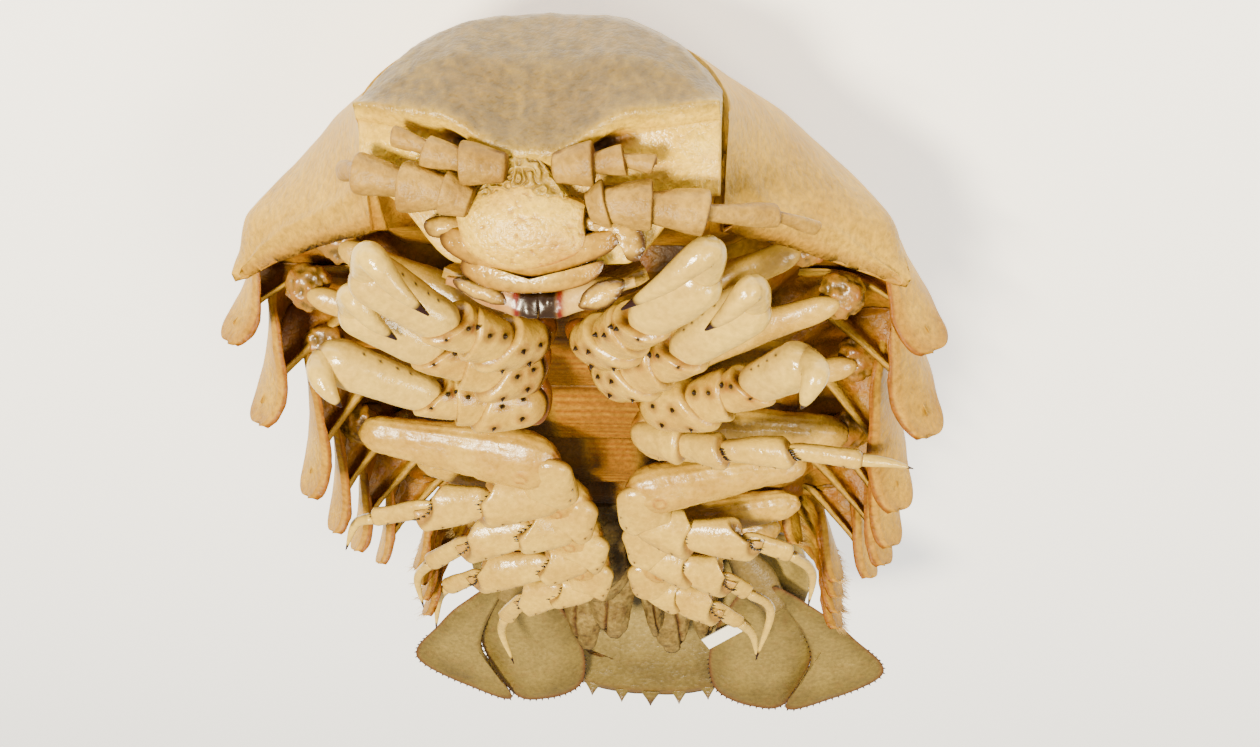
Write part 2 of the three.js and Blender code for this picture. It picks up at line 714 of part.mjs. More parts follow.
// A blank paper strip stuck by the tail.
const LABEL = { s: 206, x: -18.5, h: 13, long: 11, high: 3, thick: 0.4, turn: 35 };
function label() {
  const spot = (along, over, lift) => {
    const turn = radians(LABEL.turn);
    const x = LABEL.x + along * Math.cos(turn) - over * Math.sin(turn);
    const s = LABEL.s + along * Math.sin(turn) + over * Math.cos(turn);
    return place(s, x, LABEL.h + lift);
  };
  const face = (u, v, lift) => spot((u - 0.5) * LABEL.long, (v - 0.5) * LABEL.high, lift);
  return slab(1, 1, (u, v) => face(u, v, 0), (u, v) => face(u, v, LABEL.thick));
}
add("paper_label", label(), "paper");

// Pushes a copy of a solid aside, for cutting clear of a neighbour.
function shifted(solid, [x, y, z]) {
  const mesh = solid.getMesh();
  const n = mesh.numProp;
  const points = [];
  for (let i = 0; i < mesh.numVert; i++) {
    const [px, py, pz] = mesh.vertProperties.subarray(i * n, i * n + 3);
    points.push(px + x * GAP, py + y * GAP, pz + z * GAP);
  }
  return new wasm.Manifold(
    new wasm.Mesh({ numProp: 3, vertProperties: new Float32Array(points), triVerts: mesh.triVerts }),
  );
}

const ASIDE = [[1, 0, 0], [-1, 0, 0], [0, 1, 0], [0, -1, 0], [0, 0, 1], [0, 0, -1]];

function apart(a, b) {
  const p = a.boundingBox();
  const q = b.boundingBox();
  return [0, 1, 2].some((i) => p.min[i] > q.max[i] + GAP || q.min[i] > p.max[i] + GAP);
}

// A solid cut clear of its neighbour by the gap, keeping its largest piece.
function clearOf(solid, neighbour) {
  if (apart(solid, neighbour)) return solid;
  let left = solid;
  for (const aside of ASIDE) {
    const copy = shifted(neighbour, aside);
    if (left.intersect(copy).volume() > 0) left = left.subtract(copy);
  }
  if (left === solid) return solid;
  return left.decompose().sort((a, b) => b.volume() - a.volume())[0];
}

// The back is flattened a little where it lies on the ground.
function ground() {
  const depth = 20;
  const box = new THREE.BoxGeometry(400, 400, depth).translate(0, 0, -depth / 2);
  box.deleteAttribute("normal");
  box.deleteAttribute("uv");
  const merged = mergeVertices(box);
  const points = [];
  for (let i = 0; i < merged.attributes.position.count; i++) {
    points.push(new THREE.Vector3().fromBufferAttribute(merged.attributes.position, i).toArray());
  }
  const faces = [];
  for (let i = 0; i < merged.index.count; i += 3) faces.push([...merged.index.array.slice(i, i + 3)]);
  return solidFrom(points, faces);
}

const floor = ground();
const settled = [];
for (const [name, { solid, finish }] of made) {
  let trimmed = solid.boundingBox().min[2] < 0 ? solid.subtract(floor) : solid;
  for (const earlier of settled) trimmed = clearOf(trimmed, earlier);
  settled.push(trimmed);
  const mesh = trimmed.getMesh();
  const geometry = new THREE.BufferGeometry();
  geometry.setAttribute("position", new THREE.BufferAttribute(new Float32Array(mesh.vertProperties), 3));
  geometry.setIndex(new THREE.BufferAttribute(new Uint32Array(mesh.triVerts), 1));
  const look = new THREE.MeshStandardMaterial({ ...COLOURS[finish], metalness: 0 });
  const node = new THREE.Mesh(geometry, look);
  node.name = name;
  parts.add(node);
}

export default parts;
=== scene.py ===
"""Dried giant isopod shell lying on its back: looks, floor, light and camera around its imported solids."""
import math

import bpy
import numpy as np
from mathutils import Matrix, Vector


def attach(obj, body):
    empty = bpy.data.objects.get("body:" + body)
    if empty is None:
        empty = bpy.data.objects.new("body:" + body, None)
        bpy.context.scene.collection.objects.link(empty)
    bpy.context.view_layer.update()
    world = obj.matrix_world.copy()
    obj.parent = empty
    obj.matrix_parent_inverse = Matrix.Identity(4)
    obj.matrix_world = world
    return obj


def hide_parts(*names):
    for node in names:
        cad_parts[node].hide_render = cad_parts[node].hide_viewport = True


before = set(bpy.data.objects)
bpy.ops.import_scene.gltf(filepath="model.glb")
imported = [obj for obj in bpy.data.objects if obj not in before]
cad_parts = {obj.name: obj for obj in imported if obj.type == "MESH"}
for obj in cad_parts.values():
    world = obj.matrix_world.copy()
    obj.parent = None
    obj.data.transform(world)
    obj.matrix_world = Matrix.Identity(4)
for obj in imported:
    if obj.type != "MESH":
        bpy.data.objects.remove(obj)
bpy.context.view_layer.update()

MM = 0.001
RANDOM_SEED = 11

# The camera stands over the head end; its roll puts the head at the top of the picture.
PHOTO_WIDE = 1260
CAMERA_AIM = (-1.7, 6.03, 13.1)
CAMERA_ELEVATION = 28.9
CAMERA_AZIMUTH = -6.9
CAMERA_AWAY = 296.8
CAMERA_ROLL = 184.2
CAMERA_FOCAL_PX = 1521.6
SENSOR = 36.0

# The floor's half width and the point that the lamps look at, in metres.
FLOOR_HALF = 3.0
LIGHT_AIM = (0, 0, 0.02)

# The back line from head to tail: length, lean and how far the crooked body stands off to the side.
STRETCHES = [
    ("head", 27, -42, 0),
    ("pereonite_1", 24, -23, 1.6),
    ("pereonite_2", 15, -10, 0.9),
    ("pereonite_3", 15, -2, 0.3),
    ("pereonite_4", 18, 1, 0),
    ("pereonite_5", 20, 4, 0),
    ("pereonite_6", 19, 8.5, 0),
    ("pereonite_7", 13, 14, 0),
    ("pleon", 26, 22.5, 0),
    ("pleotelson", 56, 35, -0.8),
]
CENTRE_Y = 3.97
FLAT = 1.2
GAP = 0.35
LINE_STEP = 0.5
RUN_ON = 9

# Each ring: name, half width, depth, where its tip lies along the back line, how far round it
# reaches, half the paddle's width, its flare, half the belly's width and the belly wall's depth.
RINGS = [
    ("pereonite_2", 59, 40, 67, 76, 3.6, 8, 33, 31),
    ("pereonite_3", 59.3, 46.5, 90, 80, 4, 9, 36, 32),
    ("pereonite_4", 55.4, 49.5, 114, 84, 4.2, 8, 37, 32),
    ("pereonite_5", 54.5, 47, 135, 86, 4, 6, 37, 32),
    ("pereonite_6", 53.6, 42, 153, 86, 3.8, 5, 36, 31),
    ("pereonite_7", 51.1, 37, 166, 86, 3.2, 4, 34, 28),
]
GUTTER = 4
SHOULDER = 0.74
STEP_DOWN = 0.9
CROWN = 1.9
WIDEN = 2.6
# The five rings of the pleon; the first is narrower and shallower, and each has a lower belly wall.
PLEON = {"count": 5, "wide": 44.5, "deep": 34, "tip": 9, "reach": 84, "paddle": 1.9, "flare": 3, "core": 20,
         "floor": 19, "gutter": 19, "first_wide": -8, "first_deep": -6, "floor_step": -2}
COLLAR = {"wide": 51.5, "deep": 32.5, "tip": 48, "reach": 74, "core": 30, "floor": 27}
COLLAR_FRONT = [
    (0, 0, 27, 0),
    (0.14, 10, 23.6, 0.6),
    (0.28, 19, 15.2, 3.6),
    (0.36, 23.9, 9, 8.6),
    (0.46, 24.4, 8, 14),
    (0.6, 23.4, 11, 24.5),
    (0.8, 36, 28, 29),
    (1, 49.5, 46, 32),
]
HEAD = {"half": 23.5, "corner": 9.7, "rostrum": 15.6, "brow": 3, "mouth": 31, "mouth_half": 15}
FACE_S = 1.9
# The tail shield; its spines are drawn at a share of their length in the solid.
TELSON = {"front": 34, "belly": 3, "round": 24, "thick": 2.4, "deep": 12, "spines": 9, "long": 3.2,
          "drawn": 0.52}
SIDES = [("right", 1), ("left", -1)]

# The legs in the room, x away from the middle: hip, knee, joints of the folded outer leg, claw.
LEGS = {
    "right": [
        ((34, -65, 35), (5.5, -54, 45), [(10, -60, 48.5), (15.5, -67, 49.5), (25.5, -76.5, 47)],
         [(23, -82.5, 48.5), (16, -75, 53)]),
        ((42, -53, 36), (7.5, -43.5, 44), [(12.5, -47.5, 46.5), (20, -54, 46.5), (31, -63.5, 44.5)],
         [(29, -69, 46.5), (24, -61.5, 49)]),
        ((44, -35, 36), (9, -30.5, 42.5), [(17, -33, 44.5), (24, -37, 45), (40, -46, 43)],
         [(40, -46, 46), (37, -42, 50)]),
        ((44, -10, 38), (9, -8, 43.5), [(10, 1, 45), (22, 1, 46.5), (32, 2, 47.5), (44, 7, 47.5)],
         [(48, 10, 47.5), (50.5, 14.5, 51)]),
        ((36, 2, 37), (6, 12, 42), [(9, 17, 44.5), (17, 16, 45.5), (28, 20, 46.5), (38, 30, 47)],
         [(41.5, 36, 48), (41, 42, 52)]),
        ((35, 17, 37.5), (5, 26, 43), [(8, 31, 45), (15, 32, 46), (29, 37, 46.5), (38, 47, 45.5)],
         [(41, 54, 45.5), (43, 63, 49)]),
        ((31, 27, 38), (5, 38.5, 44), [(8, 44, 46), (14, 45, 46.5), (22, 50, 46.5), (28, 62, 46.5)],
         [(29.5, 69, 47.5), (27.5, 76, 52)]),
    ],
    "left": [
        ((34, -65, 35), (3.5, -55, 46), [(8, -61.5, 48.5), (12.5, -69, 50), (21.5, -78, 48)],
         [(22, -85, 49), (10.5, -77, 53)]),
        ((40, -52, 36), (5, -43, 44.5), [(10, -48, 46.5), (17, -55.5, 47), (28, -66.5, 45)],
         [(27.5, -73, 47), (21, -66, 49.5)]),
        ((43.5, -33, 36), (11, -30, 43), [(19, -36, 45), (27, -42, 45), (35.5, -49.5, 44.5)],
         [(36.5, -51, 47.5), (34.5, -46, 51)]),
        ((43, -12, 38), (7.5, -17, 41), [(15, -19, 44), (22, -22, 46.5), (33, -24, 47.5), (44.5, -23, 48)],
         [(49, -22, 48), (53, -21, 48.5)]),
        ((36, 1, 37), (5, 3, 43.5), [(7, 11, 45.5), (14, 14, 46.5), (25, 14, 47), (33.5, 20, 47)],
         [(37.5, 28, 47.5), (37, 37, 51)]),
        ((35, 17, 37.5), (4, 21, 43), [(7, 28, 45.5), (13, 30, 46.5), (20, 33.5, 47), (25, 41, 47)],
         [(29.5, 48, 48), (26.5, 59, 55)]),
        ((31, 27, 38), (3.5, 38, 44), [(6, 45, 45.5), (10, 47.5, 46), (17, 51, 46.5), (23, 60, 46.5)],
         [(25.5, 66, 47), (26.5, 73, 50)]),
    ],
}
GRASPING = 3
FACING = np.array([0, -0.55, 0.83])

# Chitin's looks: its clouds in mm, its refraction, the roughness left where wet, and where gloss begins.
CLOUD_SIZE = 9
CHITIN_IOR = 1.54
WET_ROUGHNESS = 0.45
GLOSSY_BELOW = 0.4


def mix(a, b, t):
    return a + (b - a) * t


def ease(x, low, high):
    t = np.clip((np.asarray(x, float) - low) / (high - low), 0, 1)
    return t * t * (3 - 2 * t)


def bell(x, middle, spread):
    return np.exp(-(((np.asarray(x, float) - middle) / spread) ** 2))


def higher(a, b, soft):
    """The higher of two values, with a soft change between them."""
    return 0.5 * (a + b + np.sqrt((a - b) ** 2 + soft * soft))


def unit(v):
    v = np.asarray(v, float)
    return v / (np.linalg.norm(v, axis=-1, keepdims=True) + 1e-12)


# The back line, integrated in short steps.
START = {}
MIDDLES = []
WHOLE = 0.0
for stretch_name, length, _, _ in STRETCHES:
    START[stretch_name] = WHOLE
    MIDDLES.append(WHOLE + length / 2)
    WHOLE += length
LEANS = [one[2] for one in STRETCHES]
ASIDES = [one[3] for one in STRETCHES]
LENGTHS = {one[0]: one[1] for one in STRETCHES}
line_s = np.arange(0, WHOLE + RUN_ON + 1 + LINE_STEP, LINE_STEP)
line_lean = np.radians(np.interp(line_s, MIDDLES, LEANS))
line_y = np.concatenate([[0], np.cumsum(np.cos(line_lean[:-1]) * LINE_STEP)])
line_z = np.concatenate([[0], np.cumsum(np.sin(line_lean[:-1]) * LINE_STEP)])
line_z = line_z - line_z.min() - FLAT
line_y = line_y - line_y[: int(WHOLE / LINE_STEP) + 1].mean() - CENTRE_Y


def place(s, x, h):
    """A point of the body: s along the back line, x sideways, h in from the back, in millimetres."""
    s, x, h = np.broadcast_arrays(np.asarray(s, float), np.asarray(x, float), np.asarray(h, float))
    lean = np.radians(np.interp(s, MIDDLES, LEANS))
    on = np.clip(s, 0, WHOLE + RUN_ON)
    beyond = np.minimum(s, 0)
    y = np.interp(on, line_s, line_y) + beyond * np.cos(lean) - h * np.sin(lean)
    z = np.interp(on, line_s, line_z) + beyond * np.sin(lean) + h * np.cos(lean)
    return np.stack([x + np.interp(s, MIDDLES, ASIDES), y, z], -1)


def room(point, sign=1):
    x, y, z = point
    return np.array([sign * x, y - CENTRE_Y, z - FLAT], float)


def lattice(ix, iy, iz, seed):
    h = ix * 374761393 + iy * 668265263 + iz * 1442695041 + seed * 974634777
    h = (h ^ (h >> 13)) * 1274126177
    h = h & 0x7FFFFFFF
    return ((h ^ (h >> 16)) & 0xFFFF) / 32767.5 - 1


def noise(p, size, seed=0, layers=2):
    """Smooth noise from about -1 to 1 in space, its first layer's lumps size millimetres apart."""
    total = np.zeros(p.shape[:-1])
    strength = 1.0
    for layer in range(layers):
        q = p / size
        low = np.floor(q).astype(np.int64)
        f = q - low
        f = f * f * (3 - 2 * f)
        value = np.zeros(total.shape)
        for dx in (0, 1):
            for dy in (0, 1):
                for dz in (0, 1):
                    w = np.abs(1 - dx - f[..., 0]) * np.abs(1 - dy - f[..., 1]) * np.abs(1 - dz - f[..., 2])
                    value += w * lattice(low[..., 0] + dx, low[..., 1] + dy, low[..., 2] + dz, seed + layer)
        total += strength * value
        strength *= 0.5
        size *= 0.5
    return total


def spline(a, b, c, d):
    """Sixteen points from b towards c on the smooth line through a, b, c and d."""
    t = np.linspace(0, 1, 16, endpoint=False)[:, None]
    return 0.5 * (2 * b + (c - a) * t + (2 * a - 5 * b + 4 * c - d) * t ** 2
                  + (3 * b - a - 3 * c + d) * t ** 3)


def evenly(fine, count, closed):
    """Samples a fine line evenly by its length; columns after the third are carried along."""
    along = np.concatenate([[0], np.cumsum(np.linalg.norm(np.diff(fine[:, :3], axis=0), axis=1))])
    at = np.linspace(0, along[-1], count, endpoint=not closed)
    return np.stack([np.interp(at, along, fine[:, k]) for k in range(fine.shape[1])], 1)


def loop_through(points, count):
    """A smooth closed line through points, sampled evenly by its length."""
    p = np.asarray(points, float)
    fine = [spline(*np.roll(p, 1 - i, axis=0)[:4]) for i in range(len(p))]
    return evenly(np.concatenate(fine + [p[:1]]), count, closed=True)


def line_through(points, count):
    """A smooth open line through points, sampled evenly by its length."""
    p = np.asarray(points, float)
    p = np.concatenate([[2 * p[0] - p[1]], p, [2 * p[-1] - p[-2]]])
    fine = [spline(*p[i - 1:i + 3]) for i in range(1, len(p) - 2)]
    return evenly(np.concatenate(fine + [p[-2:-1]]), count, closed=False)


def new_object(name, data):
    made = bpy.data.objects.new(name, data)
    bpy.context.scene.collection.objects.link(made)
    return made


class Shape:
    """Closed surfaces gathered for one piece, with their marks and finishes, and the spines to grow on it."""

    def __init__(self):
        self.points = []
        self.quads = []
        self.tris = []
        self.marks = []
        self.finishes = []
        self.count = 0
        self.spines = []

    def tube(self, rings, amber=0, dark=0, pale=0, wet=0, finish=0):
        """Adds rings of points joined along their order and closed by a fan at both ends. The marks
        amber, dark, pale and wet tint them point by point."""
        n, m, _ = rings.shape
        i, j = np.meshgrid(np.arange(n - 1), np.arange(m), indexing="ij")
        k = (j + 1) % m
        quads = np.stack([i * m + j, i * m + k, (i + 1) * m + k, (i + 1) * m + j], -1).reshape(-1, 4)
        points = np.concatenate([rings.reshape(-1, 3), [rings[0].mean(0), rings[-1].mean(0)]])
        j = np.arange(m)
        k = (j + 1) % m
        first = np.stack([np.full(m, n * m), k, j], -1)
        last = np.stack([np.full(m, n * m + 1), (n - 1) * m + j, (n - 1) * m + k], -1)
        tris = np.concatenate([first, last])
        both = np.concatenate([quads[:, :3], quads[:, [0, 2, 3]], tris])
        a, b, c = points[both[:, 0]], points[both[:, 1]], points[both[:, 2]]
        if np.einsum("ij,ij->", a, np.cross(b, c)) < 0:
            quads = quads[:, ::-1]
            tris = tris[:, ::-1]
        marks = np.stack([np.broadcast_to(one, (n, m)) for one in (amber, dark, pale, wet)], -1).astype(float)
        self.points.append(points)
        self.marks.append(np.concatenate([marks.reshape(-1, 4), [marks[0].mean(0), marks[-1].mean(0)]]))
        self.quads.append(quads + self.count)
        self.tris.append(tris + self.count)
        self.finishes.append(finish)
        self.count += len(points)

    def make(self, name, materials):
        points = np.concatenate(self.points) * MM
        points[:, 2] = np.maximum(points[:, 2], 0)
        quads = np.concatenate(self.quads)
        tris = np.concatenate(self.tris)
        mesh = bpy.data.meshes.new(name)
        mesh.vertices.add(len(points))
        mesh.vertices.foreach_set("co", points.ravel().astype(np.float32))
        corners = np.concatenate([quads.ravel(), tris.ravel()])
        mesh.loops.add(len(corners))
        mesh.loops.foreach_set("vertex_index", corners.astype(np.int32))
        starts = np.concatenate([np.arange(len(quads)) * 4, len(quads) * 4 + np.arange(len(tris)) * 3])
        mesh.polygons.add(len(starts))
        mesh.polygons.foreach_set("loop_start", starts.astype(np.int32))
        finish = [np.full(len(faces), one) for kind in (self.quads, self.tris)
                  for faces, one in zip(kind, self.finishes)]
        mesh.polygons.foreach_set("material_index", np.concatenate(finish).astype(np.int32))
        mesh.polygons.foreach_set("use_smooth", np.ones(len(starts), bool))
        marks = np.clip(np.concatenate(self.marks), 0, 1)
        kept = mesh.attributes.new("marks", "FLOAT_COLOR", "POINT")
        kept.data.foreach_set("color", marks.ravel().astype(np.float32))
        mesh.update(calc_edges=True)
        mesh.validate()
        for material in materials:
            mesh.materials.append(material)
        return new_object(name, mesh)


def normals_of(rings):
    """Outward normals of a grid of rings, each ring closed."""
    along = np.gradient(rings, axis=0)
    around = np.roll(rings, -1, axis=1) - np.roll(rings, 1, axis=1)
    n = unit(np.cross(around, along))
    middle = rings.mean(1, keepdims=True)
    if ((rings - middle) * n).sum() < 0:
        n = -n
    return n


def pushed(grid, by, n=None):
    """The grid moved outwards along its normals, or along given ones, by this many millimetres."""
    n = normals_of(grid) if n is None else n
    return grid + n * by[..., None]


def both_faces(one, other=None):
    """Joins the values of a sheet's two faces into closed rings; the second runs back."""
    other = one if other is None else other
    return np.concatenate([one, other[:, ::-1]], 1)


def linear(code):
    """An sRGB hex colour as linear numbers."""
    channels = [int(code[i:i + 2], 16) / 255 for i in (1, 3, 5)]
    return [c / 12.92 if c <= 0.04045 else ((c + 0.055) / 1.055) ** 2.4 for c in channels] + [1.0]


def wire(tree, made, links):
    for key, value in links.items():
        if isinstance(value, bpy.types.NodeSocket):
            tree.links.new(value, made.inputs[key])
        else:
            made.inputs[key].default_value = value


def node(tree, kind, links=None, **settings):
    """Adds a node with its settings; links maps each of its inputs to a value or another's output."""
    made = tree.nodes.new(kind)
    for key, value in settings.items():
        setattr(made, key, value)
    wire(tree, made, links or {})
    return made


def ramp(tree, factor, low, high, first=0.0, last=1.0):
    return node(tree, "ShaderNodeMapRange", {"Value": factor, "From Min": low, "From Max": high,
                                             "To Min": first, "To Max": last}).outputs["Result"]


def mixed(tree, factor, a, b, kind="MIX"):
    return node(tree, "ShaderNodeMix", {"Factor": factor, "A": a, "B": b}, data_type="RGBA",
                blend_type=kind).outputs["Result"]


def lumps(tree, at, size, detail, rough):
    """A noise texture whose first lumps are size millimetres wide."""
    return node(tree, "ShaderNodeTexNoise", {"Vector": at, "Scale": 1 / (size * MM), "Detail": detail,
                                             "Roughness": rough}).outputs["Fac"]


def new_material(name):
    material = bpy.data.materials.new(name)
    material.use_nodes = True
    return material, material.node_tree, material.node_tree.nodes["Principled BSDF"]


def chitin(name, light, deep, amber, dark, pale, rough, grain, relief, dimple_shade):
    """Dried chitin: two tones in clouds, thin amber edges, dark seams and pale places; the dark mark also
    carries painted shade in creases and hollows, and the pale one partly a painted highlight.
    grain is the size of its fine dimples in mm, relief their depth in mm, and the last argument how strong
    they show, by painting the dimples' sunk parts darker as shade."""
    material, tree, shader = new_material(name)
    place_in = node(tree, "ShaderNodeTexCoord").outputs["Object"]
    marks = node(tree, "ShaderNodeVertexColor", layer_name="marks")
    parts = node(tree, "ShaderNodeSeparateColor", {"Color": marks.outputs["Color"]})
    clouds = lumps(tree, place_in, CLOUD_SIZE, 4.0, 0.6)
    fine = lumps(tree, place_in, grain, 3.0, 0.55)
    tones = mixed(tree, ramp(tree, clouds, 0.35, 0.65), linear(light), linear(deep))
    for channel, colour in (("Red", amber), ("Blue", pale), ("Green", dark)):
        tones = mixed(tree, parts.outputs[channel], tones, linear(colour))
    # Painted shade: the tone is multiplied darker where the fine dimples sink.
    tones = mixed(tree, 1.0, tones, ramp(tree, fine, 0.3, 0.7, 1 - dimple_shade, 1.0), "MULTIPLY")
    uneven = ramp(tree, fine, 0.3, 0.7, rough - 0.08, rough + 0.1)
    wet = ramp(tree, marks.outputs["Alpha"], 0, 1, 1.0, WET_ROUGHNESS)
    dulled = node(tree, "ShaderNodeMath", {0: uneven, 1: wet}, operation="MULTIPLY").outputs["Value"]
    bump = node(tree, "ShaderNodeBump", {"Height": fine, "Distance": relief * MM, "Strength": 1.0})
    wire(tree, shader, {"Base Color": tones, "Roughness": dulled, "Normal": bump.outputs["Normal"],
                        "IOR": CHITIN_IOR, "Specular IOR Level": 0.5 if rough < GLOSSY_BELOW else 0.18})
    return material


# The tones are deeper than they look in the picture, as the view transform pales them.
# Shell of the back: matte cream chitin, golden where thin, chestnut in its seams; the chestnut also paints
# shade over the belly between the legs and in the creases of the gutters and sails.
back_chitin = chitin("dried_chitin_back", "#C89C2A", "#A87C1A", "#8C5405", "#301104", "#C8A43C",
                     0.46, 0.9, 0.26, 0.4)
# The head: rough and duller above the brow, its grey-tan tone there set darker as painted shade, smooth and
# yellow on the face below it; its amber and chestnut also paint shade in the sunk arch, wrinkles and pocks of
# the face.
head_chitin = chitin("dried_chitin_head", "#E8C23A", "#D4A62A", "#A86E12", "#2E1205", "#5C4716",
                     0.36, 0.7, 0.24, 0.36)
# Thin glossy amber plates round the mouth, chestnut at their edges.
mouth_chitin = chitin("amber_chitin_mouth", "#C79A2A", "#B08420", "#82540A", "#300C03", "#D4B24C",
                      0.3, 0.9, 0.16, 0.4)
# The limbs: smooth ivory shell with a varnished look and dark seams; the dark tone also paints shade in the
# wrinkles of the hip lumps, and the pale tone is partly a painted highlight.
limb_chitin = chitin("ivory_chitin_limb", "#D2AC3E", "#B48A28", "#96560F", "#240A03", "#E2C96C",
                     0.29, 1.0, 0.13, 0.26)
# The feelers: dull grey-tan shell, dimpled all over.
feeler_chitin = chitin("dimpled_chitin_feeler", "#B8923A", "#8E6C26", "#6E3E12", "#2A1006", "#D6B860",
                       0.4, 0.8, 0.24, 0.36)
# The gill flaps: leathery, grainy and grey-brown, with rusty slits; the sunk slits and pits are painted
# darker as shade.
gill_skin = chitin("leathery_gill_skin", "#8A723C", "#665228", "#5E3412", "#24100A", "#A08A4C",
                   0.46, 0.9, 0.34, 0.5)
# The tail shield and fans: dull olive shell with fine dimples, its tones set darker than the shell's own as
# painted shade where the light falls off over the tail.
tail_chitin = chitin("olive_chitin_tail", "#74622A", "#5E4E20", "#6A3E10", "#240D05", "#A08A4A",
                     0.38, 0.9, 0.22, 0.32)
# Biting edges: ivory at the root, glassy red-black where hardened.
tooth_chitin = chitin("hardened_tooth", "#D8B050", "#A86C24", "#6A1A04", "#120201", "#E6CF84",
                      0.3, 1.0, 0.05, 0.2)
# Spines and pits: almost black and a little shiny.
spine_chitin = chitin("black_spine_chitin", "#140A07", "#22100A", "#3A160C", "#080403", "#3A1D10",
                      0.3, 0.5, 0.01, 0.1)
# Hairs at the plate ends: pale straw bristle.
hair_chitin = chitin("straw_hair_chitin", "#C9A968", "#A98344", "#8A5A24", "#4A2A12", "#D8C08A",
                     0.5, 0.5, 0.01, 0.1)


def finished(shape, name, materials, nodes):
    piece = shape.make(name, materials)
    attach(piece, "root")
    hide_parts(*nodes)
    return piece


# The back rings: points across, rows on each face, and steps round each rim.
ACROSS = 190
OUTER = 24
RIM = 4
REAR_ROLL = 0.45
FRONT_ROLL = -0.3
SHEET_FROM = 0.82
BACK_THICK = 1.5


def sail(shape, q, wall, side, seed):
    """The thin sheet that closes the corner between a ring's arch and its plate; its free edge is rolled."""
    u = np.linspace(0, 1, 44)[:, None]
    w = np.linspace(0, 1, 30)[None]
    at = mix(0.64, 0.955, u)
    s, x, h = [np.interp(at, q, one) for one in wall]
    across = (x - 31) * (1 - u) ** 1.45 + 1.6 * np.sin(math.pi * u)
    bay = 2.6 * np.sin(math.pi * w) * (1 - u ** 3)
    roll = 1.5 * bell(w, 0.86, 0.2)
    s = s - 0.8 + bay - roll
    x = x - across * w + 0 * s
    h = h + 0.9 * w * (1 - u)
    grid = both_faces(place(s - 0.5, side * x, h), place(s + 0.9, side * x, h))
    edge = both_faces(w + 0 * u)
    deep = both_faces(u + 0 * w)
    wrinkle = noise(grid, 2.6, seed, 3)
    grid = pushed(grid, 0.3 * wrinkle * (1 - 0.8 * ease(edge, 0.6, 0.8)))
    margin = ease(edge, 0.62, 0.8)
    amber = (0.75 + 0.35 * wrinkle) * (1 - 0.75 * margin) + 0.5 * margin * bell(edge, 1, 0.05)
    # Painted shade: darker towards the corner the sheet closes, and in the sunk troughs of its wrinkles.
    dark = 0.5 * (1 - ease(edge, 0, 0.35)) * (1 - 0.5 * deep) + 0.3 * ease(-wrinkle, 0.1, 0.9)
    shape.tube(grid, amber, dark, 0.5 * margin, 0.3)


FRINGES = {}
HAIR = 0.09
HAIR_LENGTHS = (0.9, 2.4)
HAIRS_LEFT = 6
HAIRS_RIGHT = 2


def fringe(name, grid, q, sign):
    """Hairs along the free rear rim of a pleonite's plates, thicker on the animal's left."""
    rng = np.random.default_rng(RANDOM_SEED + len(FRINGES))
    hairs = []
    for i in np.nonzero(q > 0.86)[0]:
        for _ in range(HAIRS_LEFT if sign[i] < 0 else HAIRS_RIGHT):
            col = int(rng.integers(OUTER - 2, OUTER + 2))
            aim = unit(grid[i, OUTER - 1] - grid[i, OUTER - 4]) + rng.normal(0, 0.22, 3)
            aim = unit(aim + np.array([0.3 * sign[i], 0, 0]))
            hairs.append((grid[i, col], aim, (HAIR, HAIR, rng.uniform(*HAIR_LENGTHS))))
    FRINGES[name] = hairs


STRAP = ([66, 81, 96, 114, 130], [11, 10.5, 8.5, 5, 0])


def tongue_half(s):
    """Half the width of the orange-brown strap down the belly, which narrows to nothing under ring six."""
    return float(np.interp(s, *STRAP))


def shell_rings(outer, inner, sign, count, rim):
    """Rings round a shell: outer face, rear rim, inner face, front rim. Also each row's place from front
    to rear and its share of the way from the outer face to the inner one."""
    rings = []
    rows = []

    def add(point, v, inwards, roll=0.0):
        s, x, h = point
        rings.append(place(s + roll, sign * x, h))
        rows.append((v, inwards))

    def add_rim(here, there, v, inwards, roll):
        for k in range(1, rim):
            share = k / rim
            between = [mix(a, b, share) for a, b in zip(here, there)]
            add(between, v, abs(inwards - share), roll * math.sin(math.pi * k / rim))

    for v in np.linspace(0, 1, count):
        add(outer(v), v, 0)
    add_rim(outer(1.0), inner(1.0), 1, 0, REAR_ROLL)
    for v in np.linspace(1, 0, count):
        add(inner(v), v, 1)
    add_rim(inner(0.0), outer(0.0), 0, 1, FRONT_ROLL)
    v_of, side_of = np.array(rows, float).T[:, None]
    return np.stack(rings, 1), v_of, side_of


